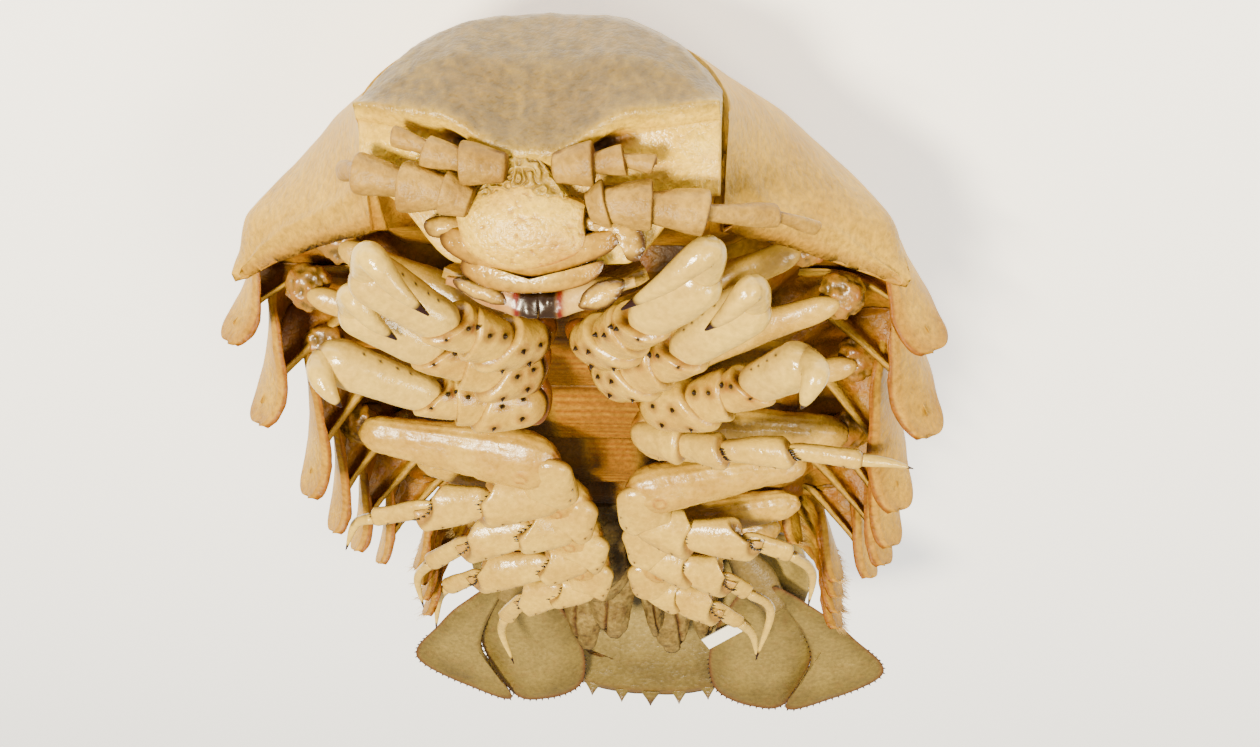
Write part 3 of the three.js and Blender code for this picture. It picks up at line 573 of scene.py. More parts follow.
def ring_piece(name, wide, deep, tip, reach, paddle, flare, core, floor, gutter, start, length):
    """One back ring with its plates: q runs from the middle of the back to a plate's tip, v to the rear."""
    turn = math.radians(reach)
    full = 1 - math.cos(turn)
    t = np.linspace(-1, 1, ACROSS + 1)
    q = np.abs(t)
    q = 1 - (1 - q) ** 1.25
    sign = np.sign(t) + (t == 0)
    shoulder = ease(q, SHOULDER, 1)
    rear = mix(start + length - GAP, tip, shoulder ** 0.62)
    front = mix(start, tip - 2 * paddle, ease(q, SHOULDER + 0.02, 1) ** 1.9)
    narrow = (1 - 0.16 * bell(q, 0.9, 0.04)) * (1 - 0.07 * ease(q, 0.8, 0.92))
    end = np.maximum(np.sqrt(np.clip(1 - ((q - 0.9) / 0.1).clip(0, 1) ** 2.2, 0, 1)), 0.04)
    middle = (rear + front) / 2
    half = (rear - front) / 2 * narrow * end
    xq = wide * np.sin(turn * q) / math.sin(turn)
    hq = deep * (1 - np.cos(turn * q)) / full
    slope = np.stack([wide * np.cos(turn * q) / math.sin(turn), deep * np.sin(turn * q) / full], -1)
    inwards = unit(np.stack([-slope[:, 1], slope[:, 0]], -1))

    def outer(v):
        leaning = flare * (0.5 + (0.5 - v) * narrow * end) * ease(q, SHOULDER - 0.06, 0.95)
        s = middle + half * (2 * v - 1)
        down = STEP_DOWN * (1 - v) ** 2
        return s, xq - leaning, hq + down

    def inner(v):
        s, x, h = outer(v)
        edge = np.minimum(v, 1 - v) * 2 * half
        thick = BACK_THICK + 0.5 * bell(edge, 0.6, 0.8) * ease(q, 0.5, 0.8)
        plate_x = x + thick * inwards[:, 0]
        plate_h = h + thick * inwards[:, 1]
        belly = floor - gutter * ease(plate_x, core - 5, core + 3)
        banded = 1.4 * bell(v, 0.55, 0.3) * (1 - ease(plate_x, 10, 18))
        coxa = 2.6 * bell(plate_x, core - 4, 5) * bell(v, 0.5, 0.4)
        return s, plate_x, higher(belly + banded + coxa, plate_h, 1.5)

    grid, v_of, side_of = shell_rings(outer, inner, sign, OUTER, RIM)
    qq = q[:, None]
    xx = np.abs(grid[..., 0])
    n = normals_of(grid)
    wrinkle = noise(grid * np.array([1, 0.6, 1]), 3.2, 3, 3)
    belly_side = side_of > 0.5
    in_gutter = belly_side * ease(xx, core - 8, core + 2)
    grid = pushed(grid, 0.35 * wrinkle * in_gutter, n)
    grid = pushed(grid, 0.12 * noise(grid, 5, 7, 2) * (1 - in_gutter), n)
    edge = np.minimum(v_of, 1 - v_of) * 2 * half[:, None]
    edge = np.minimum(edge, (1 - qq) * 60)
    on_plate = ease(qq, 0.66, 0.86)
    hollow = ease(xx, core - 10, core - 2) * (1 - on_plate)
    margin = bell(edge, 0, 1.5) * ease(qq, 0.5, 0.7)
    striae = 0.5 + 0.5 * np.sin(grid[..., 0] * 1.5 + qq * 260 + 2 * wrinkle)
    paddle_end = ease(qq, 0.86, 0.93)
    rim = bell(edge, 0, 2.1) * (0.4 + 0.6 * paddle_end)
    amber = belly_side * (on_plate * (0.95 * rim + (1 - paddle_end) * (0.75 + 0.3 * wrinkle)
                                      + 0.2 * striae * (1 - rim) + 0.55 * paddle_end)
                          + hollow * (0.85 + 0.4 * wrinkle) * (1 - 0.8 * margin))
    amber = amber + 0.3 * on_plate * (1 - belly_side) * bell(edge, 0, 1.2)
    tongue = tongue_half(start)
    strap = belly_side * (1 - ease(xx, tongue, tongue + 2.5))
    amber = amber + strap * (0.8 + 0.25 * np.sin(grid[..., 1] * 5 + noise(grid, 6, 8, 1)))
    # Painted shade: the belly beside the strap, between the legs, is painted dark brown.
    dark = belly_side * (1 - strap) * (1 - ease(xx, 18, 27)) * 0.9
    dark = dark + strap * (0.12 + 0.5 * bell(v_of, 0.04, 0.06))
    dark = dark + 0.14 * belly_side * paddle_end
    # Painted shade: a dark line where the belly steps down into the gutter, and darker sunk troughs of the
    # wrinkles in the hollow.
    dark = dark + belly_side * (0.35 * bell(xx, core - 5, 4) + 0.35 * hollow * ease(-wrinkle, 0.2, 0.9))
    # Painted shade in the sunk troughs of the wrinkles on the plates, with a darker band across each plate's
    # middle.
    fold_shade_and_band = 0.2 * ease(-wrinkle, 0, 0.9) + 0.2 * bell(v_of, 0.35, 0.2)
    dark = dark + belly_side * on_plate * (1 - paddle_end) * fold_shade_and_band
    pale = on_plate * 0.1 * ease(edge, 1.5, 3) * paddle_end + belly_side * margin * (1 - on_plate) * 0.4
    shape = Shape()
    shape.tube(grid, amber, dark, pale, 0.08 * belly_side)
    if gutter > GUTTER:
        fringe(name, grid, q, sign)
    else:
        half_q = q[ACROSS // 2:]
        rear_wall = [one[ACROSS // 2:] for one in inner(SHEET_FROM)]
        for side in (1, -1):
            sail(shape, half_q, rear_wall, side, seed=int(start))
    finished(shape, name + "_shell", [back_chitin], [name])


for row in RINGS:
    ring_piece(*row, GUTTER, START[row[0]], LENGTHS[row[0]])

pleon_step = LENGTHS["pleon"] / PLEON["count"]
for k in range(PLEON["count"]):
    start = START["pleon"] + k * pleon_step
    first = k == 0
    ring_piece(f"pleonite_{k + 1}", PLEON["wide"] + PLEON["first_wide"] * first,
               PLEON["deep"] + PLEON["first_deep"] * first, start + pleon_step + PLEON["tip"],
               PLEON["reach"], PLEON["paddle"], PLEON["flare"], PLEON["core"],
               PLEON["floor"] + PLEON["floor_step"] * k, PLEON["gutter"], start, pleon_step)


def collar_piece():
    c = COLLAR
    turn = math.radians(c["reach"])
    full = 1 - math.cos(turn)
    t = np.linspace(-1, 1, 241)
    q = np.abs(t)
    sign = np.sign(t) + (t == 0)
    table = line_through([row[1:] + (row[0],) for row in COLLAR_FRONT], 200)
    x0, s0, h0 = [np.interp(q, table[:, 3], table[:, k]) for k in range(3)]
    x1 = c["wide"] * np.sin(turn * q) / math.sin(turn) + WIDEN * np.sin(math.pi * q)
    h1 = c["deep"] * (1 - np.cos(turn * q)) / full
    rear = START["pereonite_2"] - GAP
    s1 = mix(rear, c["tip"], ease(q, 0.7, 1))

    def outer(v):
        bulge = math.sin(math.pi * v) * ease(q, 0.3, 0.6) * (1 - ease(q, 0.8, 1))
        x = mix(x0, x1, v) + 4.6 * bulge
        h = mix(h0, h1, v) - 1.2 * bulge - CROWN * (1 - v) * (1 - ease(q, 0, 0.3))
        return mix(s0 + GAP, s1, v), x, h

    def inner(v):
        s, x, h = outer(v)
        side = ease(q, 0.25, 0.5)
        in_x = np.maximum(x - 1.4 * side * (1 - 0.5 * q), 0)
        plate = h + 2.4 * (1 - 0.5 * q)
        belly = c["floor"] - 3 * ease(x, c["core"] - 6, c["core"] + 2)
        return s + 1.6 * side * (1 - v), in_x, higher(belly, plate, 1.0)

    grid, v_of, side_of = shell_rings(outer, inner, sign, 40, 1)
    qq = q[:, None]
    ridge = bell(v_of, 0.14, 0.03) * ease(qq, 0.5, 0.6) * (1 - side_of)
    grid = pushed(grid, 0.5 * ridge + 0.1 * noise(grid, 4, 5, 2))
    amber = side_of * (0.5 + 0.3 * noise(grid, 3, 6, 2))
    amber = amber + (1 - side_of) * 0.5 * bell(v_of, 0, 0.04) * ease(qq, 0.5, 0.7)
    shape = Shape()
    shape.tube(grid, amber, 0, 0.3 * (1 - side_of), 0.2)
    finished(shape, "pereonite_1_shell", [back_chitin], ["pereonite_1"])


collar_piece()


def head_piece():
    columns = 150
    x = np.linspace(-HEAD["half"], HEAD["half"], columns + 1)
    side = np.abs(x) / HEAD["half"]
    brow = mix(HEAD["rostrum"], HEAD["corner"] + 1, ease(side, 0.08, 0.55)) - ease(side, 0.5, 1)
    crown = (HEAD["corner"] - 1.2 + CROWN) * side ** 3 - CROWN
    mouth = mix(HEAD["mouth"], 22, ease(np.abs(x), HEAD["mouth_half"] - 4, HEAD["mouth_half"] + 6))
    back = START["pereonite_1"] - GAP - 18 * side * side
    edge = HEAD["brow"] * side * side
    outline = [
        (back, crown), (mix(edge, back, 0.6), crown + 0.6),
        (mix(edge, back, 0.25), mix(crown + 2.6, brow - 2, 0.3)), (edge, brow),
        (2.5 + edge, brow + 2), (3 + 2 * side, mix(brow, mouth, 0.6)), (5.5 + 0 * side, mouth),
        (mix(back, 24, 0.5 * side), mouth - 2),
    ]
    loop = np.stack([np.stack(one, -1) for one in outline], 1)
    closed = np.concatenate([loop, loop[:, :1]], 1)
    per = [14, 14, 16, 10, 20, 20, 14, 12]
    fine = []
    for k, count in enumerate(per):
        share = np.linspace(0, 1, count, endpoint=False)[None, :, None]
        fine.append(mix(closed[:, k:k + 1], closed[:, k + 1:k + 2], share))
    fine = np.concatenate(fine, 1)
    kernel = np.array([1, 2, 3, 2, 1]) / 9
    smooth = sum(w * np.roll(fine, k - 2, axis=1) for k, w in enumerate(kernel))
    s = smooth[..., 0]
    h = smooth[..., 1]
    grid = place(s, x[:, None], h)
    under = ease(h - brow[:, None], 0.2, 1.5) * (s < 9)
    top = (1 - under) * (h < brow[:, None] + 1)
    xx = np.abs(x)[:, None]
    below = h - brow[:, None]
    eye = bell(xx, 18, 4.6) * bell(below, 4.4, 2.8) * under
    band = bell(below, 1.3, 1.3) * (s < 9)
    arch = bell(xx, 8.4, 3.4) * bell(below, 3.1, 1.3) * under
    lines = noise(grid * np.array([1, 0.8, 0.8]), 2.6, 9, 4)
    relief = 1.1 * eye + 0.7 * band - 1.8 * arch + top * 0.18 * lines + 0.1 * noise(grid, 3.5, 4, 2)
    grid = pushed(grid, relief)
    # The top above the brow takes the grey-tan tone, set darker than its own colour as painted shade over the
    # top of the head.
    pale = top * (1 - band) * (0.92 + 0.12 * noise(grid, 0.9, 6, 2))
    # Painted shade: the sunk arch under the band is painted almost black.
    dark = 0.9 * ease(arch, 0.25, 0.8) + 0.1 * top * ease(lines, 0.7, 1.2)
    pearly = ease(eye, 0.2, 0.5)
    amber = under * (0.1 + 0.25 * ease(noise(grid, 4, 2, 2), 0, 0.8)) * (1 - band) * (1 - pearly)
    amber = amber + 0.5 * ease(arch, 0.1, 0.4)
    shape = Shape()
    shape.tube(grid, amber, dark, pale, 0.9 * pearly + 0.4 * band)
    finished(shape, "head_shell_fine", [head_chitin], ["head"])


head_piece()


def face_dome(outline, back, front, bulge, around=120, steps=30):
    """A plate on the face as rings: its rim at the back, then in to its middle."""
    loop = loop_through(outline, around)
    middle = loop.mean(0)
    rings = [place(back, loop[:, 0], loop[:, 1])]
    radius = [1.0]
    for k in range(steps):
        r = math.cos(0.5 * math.pi * k / steps)
        at = middle + (loop - middle) * r
        rings.append(place(front - bulge * (1 - r * r) ** 0.9, at[:, 0], at[:, 1]))
        radius.append(r)
    grid = np.stack(rings)
    return grid, np.array(radius)[:, None]


# The face's outlines, as (x, h) round each plate.
LAMINA = [(1.4, 15.2), (3.6, 16.6), (5.6, 19), (7.7, 21.8), (5.5, 22), (1.5, 20.5), (-2.4, 22),
          (-4.7, 21.8), (-2.8, 19), (-0.9, 16.6)]
CLYPEUS = [(2.4, 18.9), (6.5, 20.8), (9.6, 22), (9.9, 23), (9.6, 25.4), (8.6, 28.2), (5.6, 30), (2.4, 30.7),
           (-1.5, 30.2), (-5.2, 28.8), (-6.6, 27), (-6.4, 24.6), (-6.6, 23), (-6.3, 22.1), (-1.8, 20.4)]
UPPER_LIP = [(10.4, 25.4), (12.2, 26.2), (12.2, 27.6), (10.4, 29.3), (6.5, 31), (2, 31.8), (-3, 31.2),
             (-7.5, 29.6), (-10, 28.2), (-10.9, 26.8), (-10, 25.5), (0, 27.4)]
LOWER_LIP = [(8.4, 29.6), (9.9, 30.2), (9.2, 32), (6.4, 33.4), (1, 34), (-4.6, 33.4), (-7.8, 31.9),
             (-8.8, 30.4), (-7.6, 29.8), (1, 32)]
PALPS = {
    "right": [(9.6, 24.2), (13.2, 24), (14.5, 25.2), (13.4, 26.7), (9.6, 26.6)],
    "left": [(-6.2, 24), (-10, 24.2), (-13, 25), (-14.2, 27.2), (-13.4, 29.6), (-11.8, 29.4), (-11.8, 27),
             (-10, 26), (-6.2, 25.6)],
}
FEEDING_TIPS = {
    "right": [(11, 32.3), (10.2, 33.9), (7, 35.3), (4.2, 35.6), (5, 33.9), (8, 32.6)],
    "left": [(-5.4, 35.8), (-6.6, 33.5), (-9, 32.4), (-11.2, 32.6), (-10.6, 34.6), (-8, 36.2)],
}

lamina, lamina_r = face_dome(LAMINA, FACE_S + 1, FACE_S - 1.5, 1.2, 300, 80)
fold = np.sin(noise(lamina, 1.5, 21, 2) * 8)
lamina = pushed(lamina, 0.3 * fold * ease(0.98 - lamina_r, 0, 0.06))
shape = Shape()
# Painted shade: the sunk troughs of the wrinkles are painted amber and chestnut.
shape.tube(lamina, 0.25 * ease(-fold, 0.2, 0.9), 0.3 * ease(-fold, 0.6, 1), 0.55, 0.1)
finished(shape, "frontal_lamina_wrinkled", [head_chitin], ["frontal_lamina"])

clypeus, clypeus_r = face_dome(CLYPEUS, FACE_S + 1, FACE_S - 1.8, 2.0, 220, 60)
pocks = ease(noise(clypeus * np.array([1, 1, 1.6]), 0.9, 5, 2), 0.45, 0.9)
clypeus = pushed(clypeus, -0.12 * pocks * ease(0.97 - clypeus_r, 0, 0.05))
stain = bell(clypeus[..., 0], -3, 3.6) * bell(clypeus[..., 2], clypeus[..., 2].max() - 1.2, 1.8)
shape = Shape()
# Painted shade: the sunk pocks are painted darker amber with a little chestnut.
shape.tube(clypeus, 0.5 * bell(clypeus_r, 1, 0.05) + 0.5 * pocks + 0.6 * stain, 0.12 * pocks, 0, 0.3)
finished(shape, "clypeus_shield", [head_chitin], ["clypeus"])

shape = Shape()
for outline, front in ((UPPER_LIP, FACE_S - 0.6), (LOWER_LIP, FACE_S - 0.2)):
    lip, lip_r = face_dome(outline, FACE_S + 2, front, 1.5, 200, 50)
    lip = pushed(lip, 0.14 * noise(lip * np.array([0.5, 1, 1.6]), 2.2, 15, 2))
    amber = 0.12 + 0.35 * ease(noise(lip, 2.5, 4, 2), 0.1, 0.8) + 0.6 * bell(lip_r, 1, 0.16)
    shape.tube(lip, amber, 0.8 * bell(lip_r, 1, 0.06), 0.5 * (1 - ease(lip_r, 0.3, 0.8)), 0.8)
finished(shape, "labrum_lip", [mouth_chitin], ["labrum"])


def edged_lobe(shape, outline, front, bulge, seed, finish=0):
    """A small amber lobe of the mouth with a ragged chestnut edge."""
    grid, r = face_dome(outline, front + 1.6, front, bulge, 140, 30)
    grid = pushed(grid, 0.12 * noise(grid, 1.2, seed, 2))
    ragged = 1 - 0.12 * noise(grid, 0.8, seed + 3, 1).clip(0, 1)
    shape.tube(grid, 0.1 + 0.6 * bell(r, ragged, 0.42), 0.9 * bell(r, ragged, 0.2), 0.3, 0.6, finish)


def sweep(path, facing, wide, tall, around=28, power=2.0, keel=0.0):
    """Oval rings along a path: wide across it, tall along facing, with a keel along both edges."""
    along = unit(np.gradient(path, axis=0))
    across = unit(np.cross(along, np.broadcast_to(facing, along.shape)))
    over = unit(np.cross(across, along))
    a = np.linspace(0, 2 * math.pi, around, endpoint=False)[None]
    c, d = np.cos(a), np.sin(a)
    edge = 1 + keel * np.abs(c) ** 8
    e = 2 / power
    u = np.sign(c) * np.abs(c) ** e * edge
    v = np.sign(d) * np.abs(d) ** e
    wide = np.broadcast_to(wide, (len(path),))[:, None]
    tall = np.broadcast_to(tall, (len(path),))[:, None]
    sideways = across[:, None] * (u * wide / 2)[..., None]
    return path[:, None] + sideways + over[:, None] * (v * tall / 2)[..., None], a


RIM_SPINE = (0.46, 0.46, 0.8)


def swelling(t, first, last, start, end):
    """Share of the full width along an article: rounded over its first and last shares."""
    rise = np.sqrt(np.clip(1 - (1 - np.clip(t / first, 0, 1)) ** 2, 0, 1))
    fall = np.sqrt(np.clip(1 - (1 - np.clip((1 - t) / last, 0, 1)) ** 2, 0, 1))
    return np.maximum(rise * fall * mix(start, end, ease(t, 0, 0.9)), 0.03)


def article(shape, a, b, facing, wide, tall, side=1, first=0.3, last=0.1, start=0.85, end=1.0, arch=0.0,
            oblique=0.0, scallops=0, keel=0.04, pits=(), rim_spines=0, ridges=0, curl=0, seed=0, grooved=0.6,
            marks=(0, 0, 0, 0.3), steps=46, around=52):
    """One article of a limb from a to b. side says which way its outer edge lies; oblique and scallops
    draw its far rim out into lobes; pits are (share of length, turn from the middle, radius)."""
    t = 0.5 - 0.5 * np.cos(math.pi * np.linspace(0, 1, steps))
    middle = a + b + 2 * arch * facing - (a + b) / 2
    t1 = t[:, None]
    path = (1 - t1) ** 2 * a + 2 * t1 * (1 - t1) * middle + t1 ** 2 * b
    share = swelling(t, first, last, start, end)
    rings, angle = sweep(path, facing, wide * share, tall * share, around, 2.3, keel)
    axis = unit(b - a)
    reach = ease(t1, 0.45, 1.0)
    shift = -side * oblique * np.cos(angle)
    if scallops:
        shift = shift + 1.5 * (0.55 - np.abs(np.sin(0.5 * scallops * angle + seed)))
    rings = rings + axis * (shift * reach)[..., None]
    n = normals_of(rings)
    rings = pushed(rings, 0.16 * noise(rings, 4, seed, 2), n)
    over = n @ unit(facing)
    groove = grooved * ease(0.62 - over, 0, 0.35) * (1 - ease(t1, 0.22, 0.42)) * ease(over, -0.5, 0.1)
    lid = ease(t1, 0.955, 0.985)
    seam = bell(t1, 0.968, 0.02)
    if curl:
        rings = pushed(rings, 0.13 * noise(rings, 0.8, seed + 3, 2), n)
    if grooved >= 1:
        lining = swelling(t, first, 0.4, 1, 1)
        under, _ = sweep(mix(a, path, 0.62) - (0.16 * tall) * facing - 0.5 * axis, facing,
                         (wide * start + 1.5) * lining, tall * 0.62 * lining, around, 2.3, 0)
        shape.tube(under, 1, 0.55, 0, 0.6)
    for k in range(ridges):
        turn = 0.5 * math.pi + side * (0.35 + 0.42 * k)
        rings = pushed(rings, 0.2 * bell(angle, turn, 0.07) * bell(t1, 0.5, 0.38), n)
    amber = marks[0] + 0.6 * groove + 0.45 * lid + 0.4 * seam
    amber = amber + 0.16 * noise(rings, 3, seed + 5, 2).clip(0, 1)
    dark = marks[1] + groove ** 2 + 0.3 * lid * (over < 0.4) + 0.4 * seam
    if curl:
        spot = rings[int(steps * 0.72), int(around * (0.25 - 0.05 * side))]
        ring_mark = bell(np.linalg.norm(rings - spot, axis=-1), 1.0, 0.22)
        rings = pushed(rings, 0.3 * ring_mark, n)
        amber = amber + 0.6 * ring_mark
    for at, turn, radius in pits:
        i = int(np.argmin(np.abs(t - at)))
        j = int(round((0.25 + side * turn / (2 * math.pi)) * around)) % around
        away = np.linalg.norm(rings - rings[i, j], axis=-1)
        dark = dark + bell(away, 0, radius * 1.1)
        amber = amber + 0.5 * bell(away, radius * 1.5, radius * 0.6)
        size = (radius * 1.5, radius * 1.5, radius * 1.3 + 0.2)
        shape.spines.append((rings[i, j] - 0.15 * n[i, j], unit(n[i, j] + 0.5 * axis), size))
    i = int(steps * 0.93)
    for k in range(rim_spines):
        j = int(around * (0.25 + side * (0.44 * (k + 0.5) / rim_spines - 0.14))) % around
        shape.spines.append((rings[i, j], unit(axis + 0.5 * n[i, j]), RIM_SPINE))
    shape.tube(rings, amber, dark, marks[2], marks[3])
    return rings


def claw(shape, points, thick, facing, tip_dark):
    path = line_through(points, 46)
    t = np.linspace(0, 1, 46)
    width = thick * np.clip(1 - 0.93 * t ** 1.9, 0.05, 1) * np.sqrt(np.clip(t / 0.06, 0.1, 1))
    rings, _ = sweep(path, facing, width, width * 0.9, 24)
    t1 = t[:, None]
    over = normals_of(rings) @ unit(facing)
    groove = 0.6 * ease(0.5 - over, 0, 0.4) * (1 - ease(t1, 0.1, 0.3))
    shape.tube(rings, groove, ease(t1, tip_dark, tip_dark + 0.05) + 0.5 * groove, 0.35, 0.8)


GRASP_PITS = [(0.4, -0.5, 0.6), (0.42, 0.3, 0.6), (0.72, -0.25, 0.62), (0.76, 0.6, 0.5)]
CARPUS_PITS = [(0.45, -0.8, 0.66), (0.74, -0.55, 0.6), (0.9, 0.1, 0.36)]
SLIM_WIDE = [7, 6, 5.2, 4.2]
HOOK_THICK = 5.0
CLAW_THICK = 2.3


def leg_piece(name, sign, k, spec):
    """Leg k + 1 of one side: a folded grasper with a hook, or a walking leg with lobed rims."""
    hip, knee, outer, hook = spec
    hip = room(hip, sign)
    knee = room(knee, sign)
    outer = [room(p, sign) for p in outer]
    hook = [room(p, sign) for p in hook]
    shape = Shape()
    down = -unit(FACING)
    path = [knee] + outer
    beyond = unit(knee - hip)

    def joint(a, b, wide, tall, seed, **looks):
        article(shape, a, b, FACING, wide, tall, sign, seed=seed, **looks)

    if k <= GRASPING:
        lump = article(Shape(), hip - 4 * beyond, hip + 3 * beyond, FACING, 7.5, 4.6, sign, first=0.4,
                       last=0.4, seed=5 + k)
        wrinkled = noise(lump, 1.3, 12 + k, 3)
        lump = pushed(lump, 0.45 * wrinkled) + 2.2 * down
        # Painted shade: the sunk troughs of the lump's wrinkles are painted darker.
        shape.tube(lump, 0.5 + 0.4 * wrinkled, 0.3 + 0.5 * ease(-wrinkled, -0.2, 0.6))
    if k < GRASPING:
        joint(hip, knee + 1.6 * beyond + 1.8 * down, 8.8, 6, 10 + k, first=0.1, last=0.16, start=0.45,
              pits=[(0.95, 0.9, 0.3), (0.9, 1.1, 0.3), (0.94, -0.5, 0.3)], grooved=0, steps=60,
              marks=(0.06, 0, 0.1, 0.3))
        along = unit(path[1] - path[0])
        joint(knee - 2.6 * along, path[1] + 0.6 * along, 9.4, 6.6, 20 + k, first=0.36, last=0.12,
              oblique=1.6, pits=GRASP_PITS, grooved=1.0)
        along = unit(path[2] - path[1])
        half_way = mix(path[1], path[2], 0.5)
        joint(path[1] - 2.2 * along + 0.4 * down, half_way + 0.8 * along, 8.4, 6.2, 30 + k, first=0.3,
              last=0.1, oblique=-1.4, pits=CARPUS_PITS[:2], grooved=0.7)
        joint(half_way - 1.8 * along + 0.2 * down, path[2] + 1.0 * along, 7.6, 6.2, 40 + k, first=0.3,
              last=0.12, oblique=2.0, pits=CARPUS_PITS, grooved=0.7)
        along = unit(path[3] - path[2])
        # The propodus is painted paler all over: partly its ivory tone, partly a painted highlight.
        joint(path[2] - 1.6 * along, path[3] + 1.6 * along, 7.8, 6, 50 + k, first=0.22, last=0.24,
              start=0.8, arch=0.5, grooved=0.5, marks=(0, 0, 0.35, 0.7),
              pits=[(0.3 + 0.12 * m, -1.15, 0.18) for m in range(4)], steps=60)
        bend = mix(hook[0], hook[1], 0.5) + 1.0 * unit(FACING)
        claw(shape, [path[3] - 0.6 * along, hook[0], bend, hook[1]], HOOK_THICK, FACING, 0.84)
    else:
        slim = sign < 0 and k == GRASPING
        joint(hip, knee + 1.8 * beyond + 1.2 * down, 11.4 if k == GRASPING else 9.5, 6.4, 10 + k,
              first=0.12, last=0.2, start=0.62, ridges=3, curl=1, grooved=0, steps=80, around=64,
              marks=(0.1, 0.03, 0, 0))
        wide = SLIM_WIDE if slim else [9.6 - 0.5 * (k - GRASPING), 10 - 0.8 * (k - GRASPING), 8.2, 4.8]
        flat, lobed = (0.75, 0.3) if slim else (0.52, 1)
        long = len(path) - 1
        for i in range(long):
            along = unit(path[i + 1] - path[i])
            last_one = i == long - 1
            joint(path[i] - 0.24 * wide[i] * along + 0.25 * i * down, path[i + 1] + 0.5 * along, wide[i],
                  wide[i] * flat, 60 + 9 * k + i + (sign > 0), first=0.25, last=0.12, start=0.72,
                  end=0.8 if last_one else 1.05, oblique=(0.3, 1.6, 2.2, 0.4)[i] * lobed,
                  scallops=0 if slim or last_one else 3, grooved=0.45, rim_spines=4 if last_one else 8,
                  marks=(0, 0, 0.15, 0.45), pits=[(0.75, 0.9, 0.2), (0.55, 1.1, 0.18)])
        claw(shape, [path[-1] - 0.4 * unit(path[-1] - path[-2]), hook[0], hook[1]], CLAW_THICK, FACING, 0.86)
    finished(shape, name + "_articles", [limb_chitin], [name])
    spines_piece(name + "_spines", shape.spines, 0.1, spine_chitin)


def spine_tree():
    """Geometry Nodes: a tapering spine on every point, pointing along its aim, by its size."""
    tree = bpy.data.node_groups.new("spines_on_points", "GeometryNodeTree")
    tree.is_modifier = True
    for name, way, kind in (("Geometry", "INPUT", "Geometry"), ("Tip width", "INPUT", "Float"),
                            ("Material", "INPUT", "Material"), ("Geometry", "OUTPUT", "Geometry")):
        tree.interface.new_socket(name, in_out=way, socket_type="NodeSocket" + kind)
    entry = node(tree, "NodeGroupInput")
    aim = node(tree, "GeometryNodeInputNamedAttribute", {"Name": "aim"}, data_type="FLOAT_VECTOR")
    size = node(tree, "GeometryNodeInputNamedAttribute", {"Name": "size"}, data_type="FLOAT_VECTOR")
    cone = node(tree, "GeometryNodeMeshCone", {"Vertices": 8, "Side Segments": 3, "Radius Bottom": 0.5,
                                               "Depth": 1.0, "Radius Top": entry.outputs["Tip width"]})
    turn = node(tree, "FunctionNodeAlignRotationToVector", {"Vector": aim.outputs["Attribute"]}, axis="Z")
    copies = node(tree, "GeometryNodeInstanceOnPoints", {
        "Points": entry.outputs["Geometry"], "Instance": cone.outputs["Mesh"],
        "Rotation": turn.outputs["Rotation"], "Scale": size.outputs["Attribute"]})
    real = node(tree, "GeometryNodeRealizeInstances", {"Geometry": copies.outputs["Instances"]})
    smooth = node(tree, "GeometryNodeSetShadeSmooth", {"Geometry": real.outputs["Geometry"]})
    painted = node(tree, "GeometryNodeSetMaterial", {"Geometry": smooth.outputs["Geometry"],
                                                     "Material": entry.outputs["Material"]})
    end = node(tree, "NodeGroupOutput")
    tree.links.new(painted.outputs["Geometry"], end.inputs[0])
    return tree


SPINES = spine_tree()


def socket_of(tree, name):
    sockets = tree.interface.items_tree
    return next(one.identifier for one in sockets if one.name == name and one.in_out == "INPUT")


def spines_piece(name, spines, tip_width, material):
    """The spines or hairs of one piece, each given as its point, its aim and its (width, width, length)."""
    points, aims, sizes = [np.array(part) for part in zip(*spines)]
    mesh = bpy.data.meshes.new(name + "_points")
    mesh.vertices.add(len(points))
    mesh.vertices.foreach_set("co", (points * MM).ravel().astype(np.float32))
    aim = mesh.attributes.new("aim", "FLOAT_VECTOR", "POINT")
    aim.data.foreach_set("vector", aims.ravel().astype(np.float32))
    size = mesh.attributes.new("size", "FLOAT_VECTOR", "POINT")
    size.data.foreach_set("vector", (sizes * MM).ravel().astype(np.float32))
    holder = new_object(name + "_holder", mesh)
    modifier = holder.modifiers.new("spines", "NODES")
    modifier.node_group = SPINES
    modifier[socket_of(SPINES, "Tip width")] = tip_width
    modifier[socket_of(SPINES, "Material")] = material
    bpy.context.view_layer.update()
    evaluated = holder.evaluated_get(bpy.context.evaluated_depsgraph_get())
    plain = bpy.data.meshes.new_from_object(evaluated)
    bpy.data.objects.remove(holder)
    piece = new_object(name, plain)
    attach(piece, "root")


for side_name, sign in SIDES:
    for k, spec in enumerate(LEGS[side_name]):
        leg_piece(f"pereopod_{k + 1}_{side_name}", sign, k, spec)

for ring_name, hairs in FRINGES.items():
    spines_piece(ring_name + "_hairs", hairs, 0.15, hair_chitin)

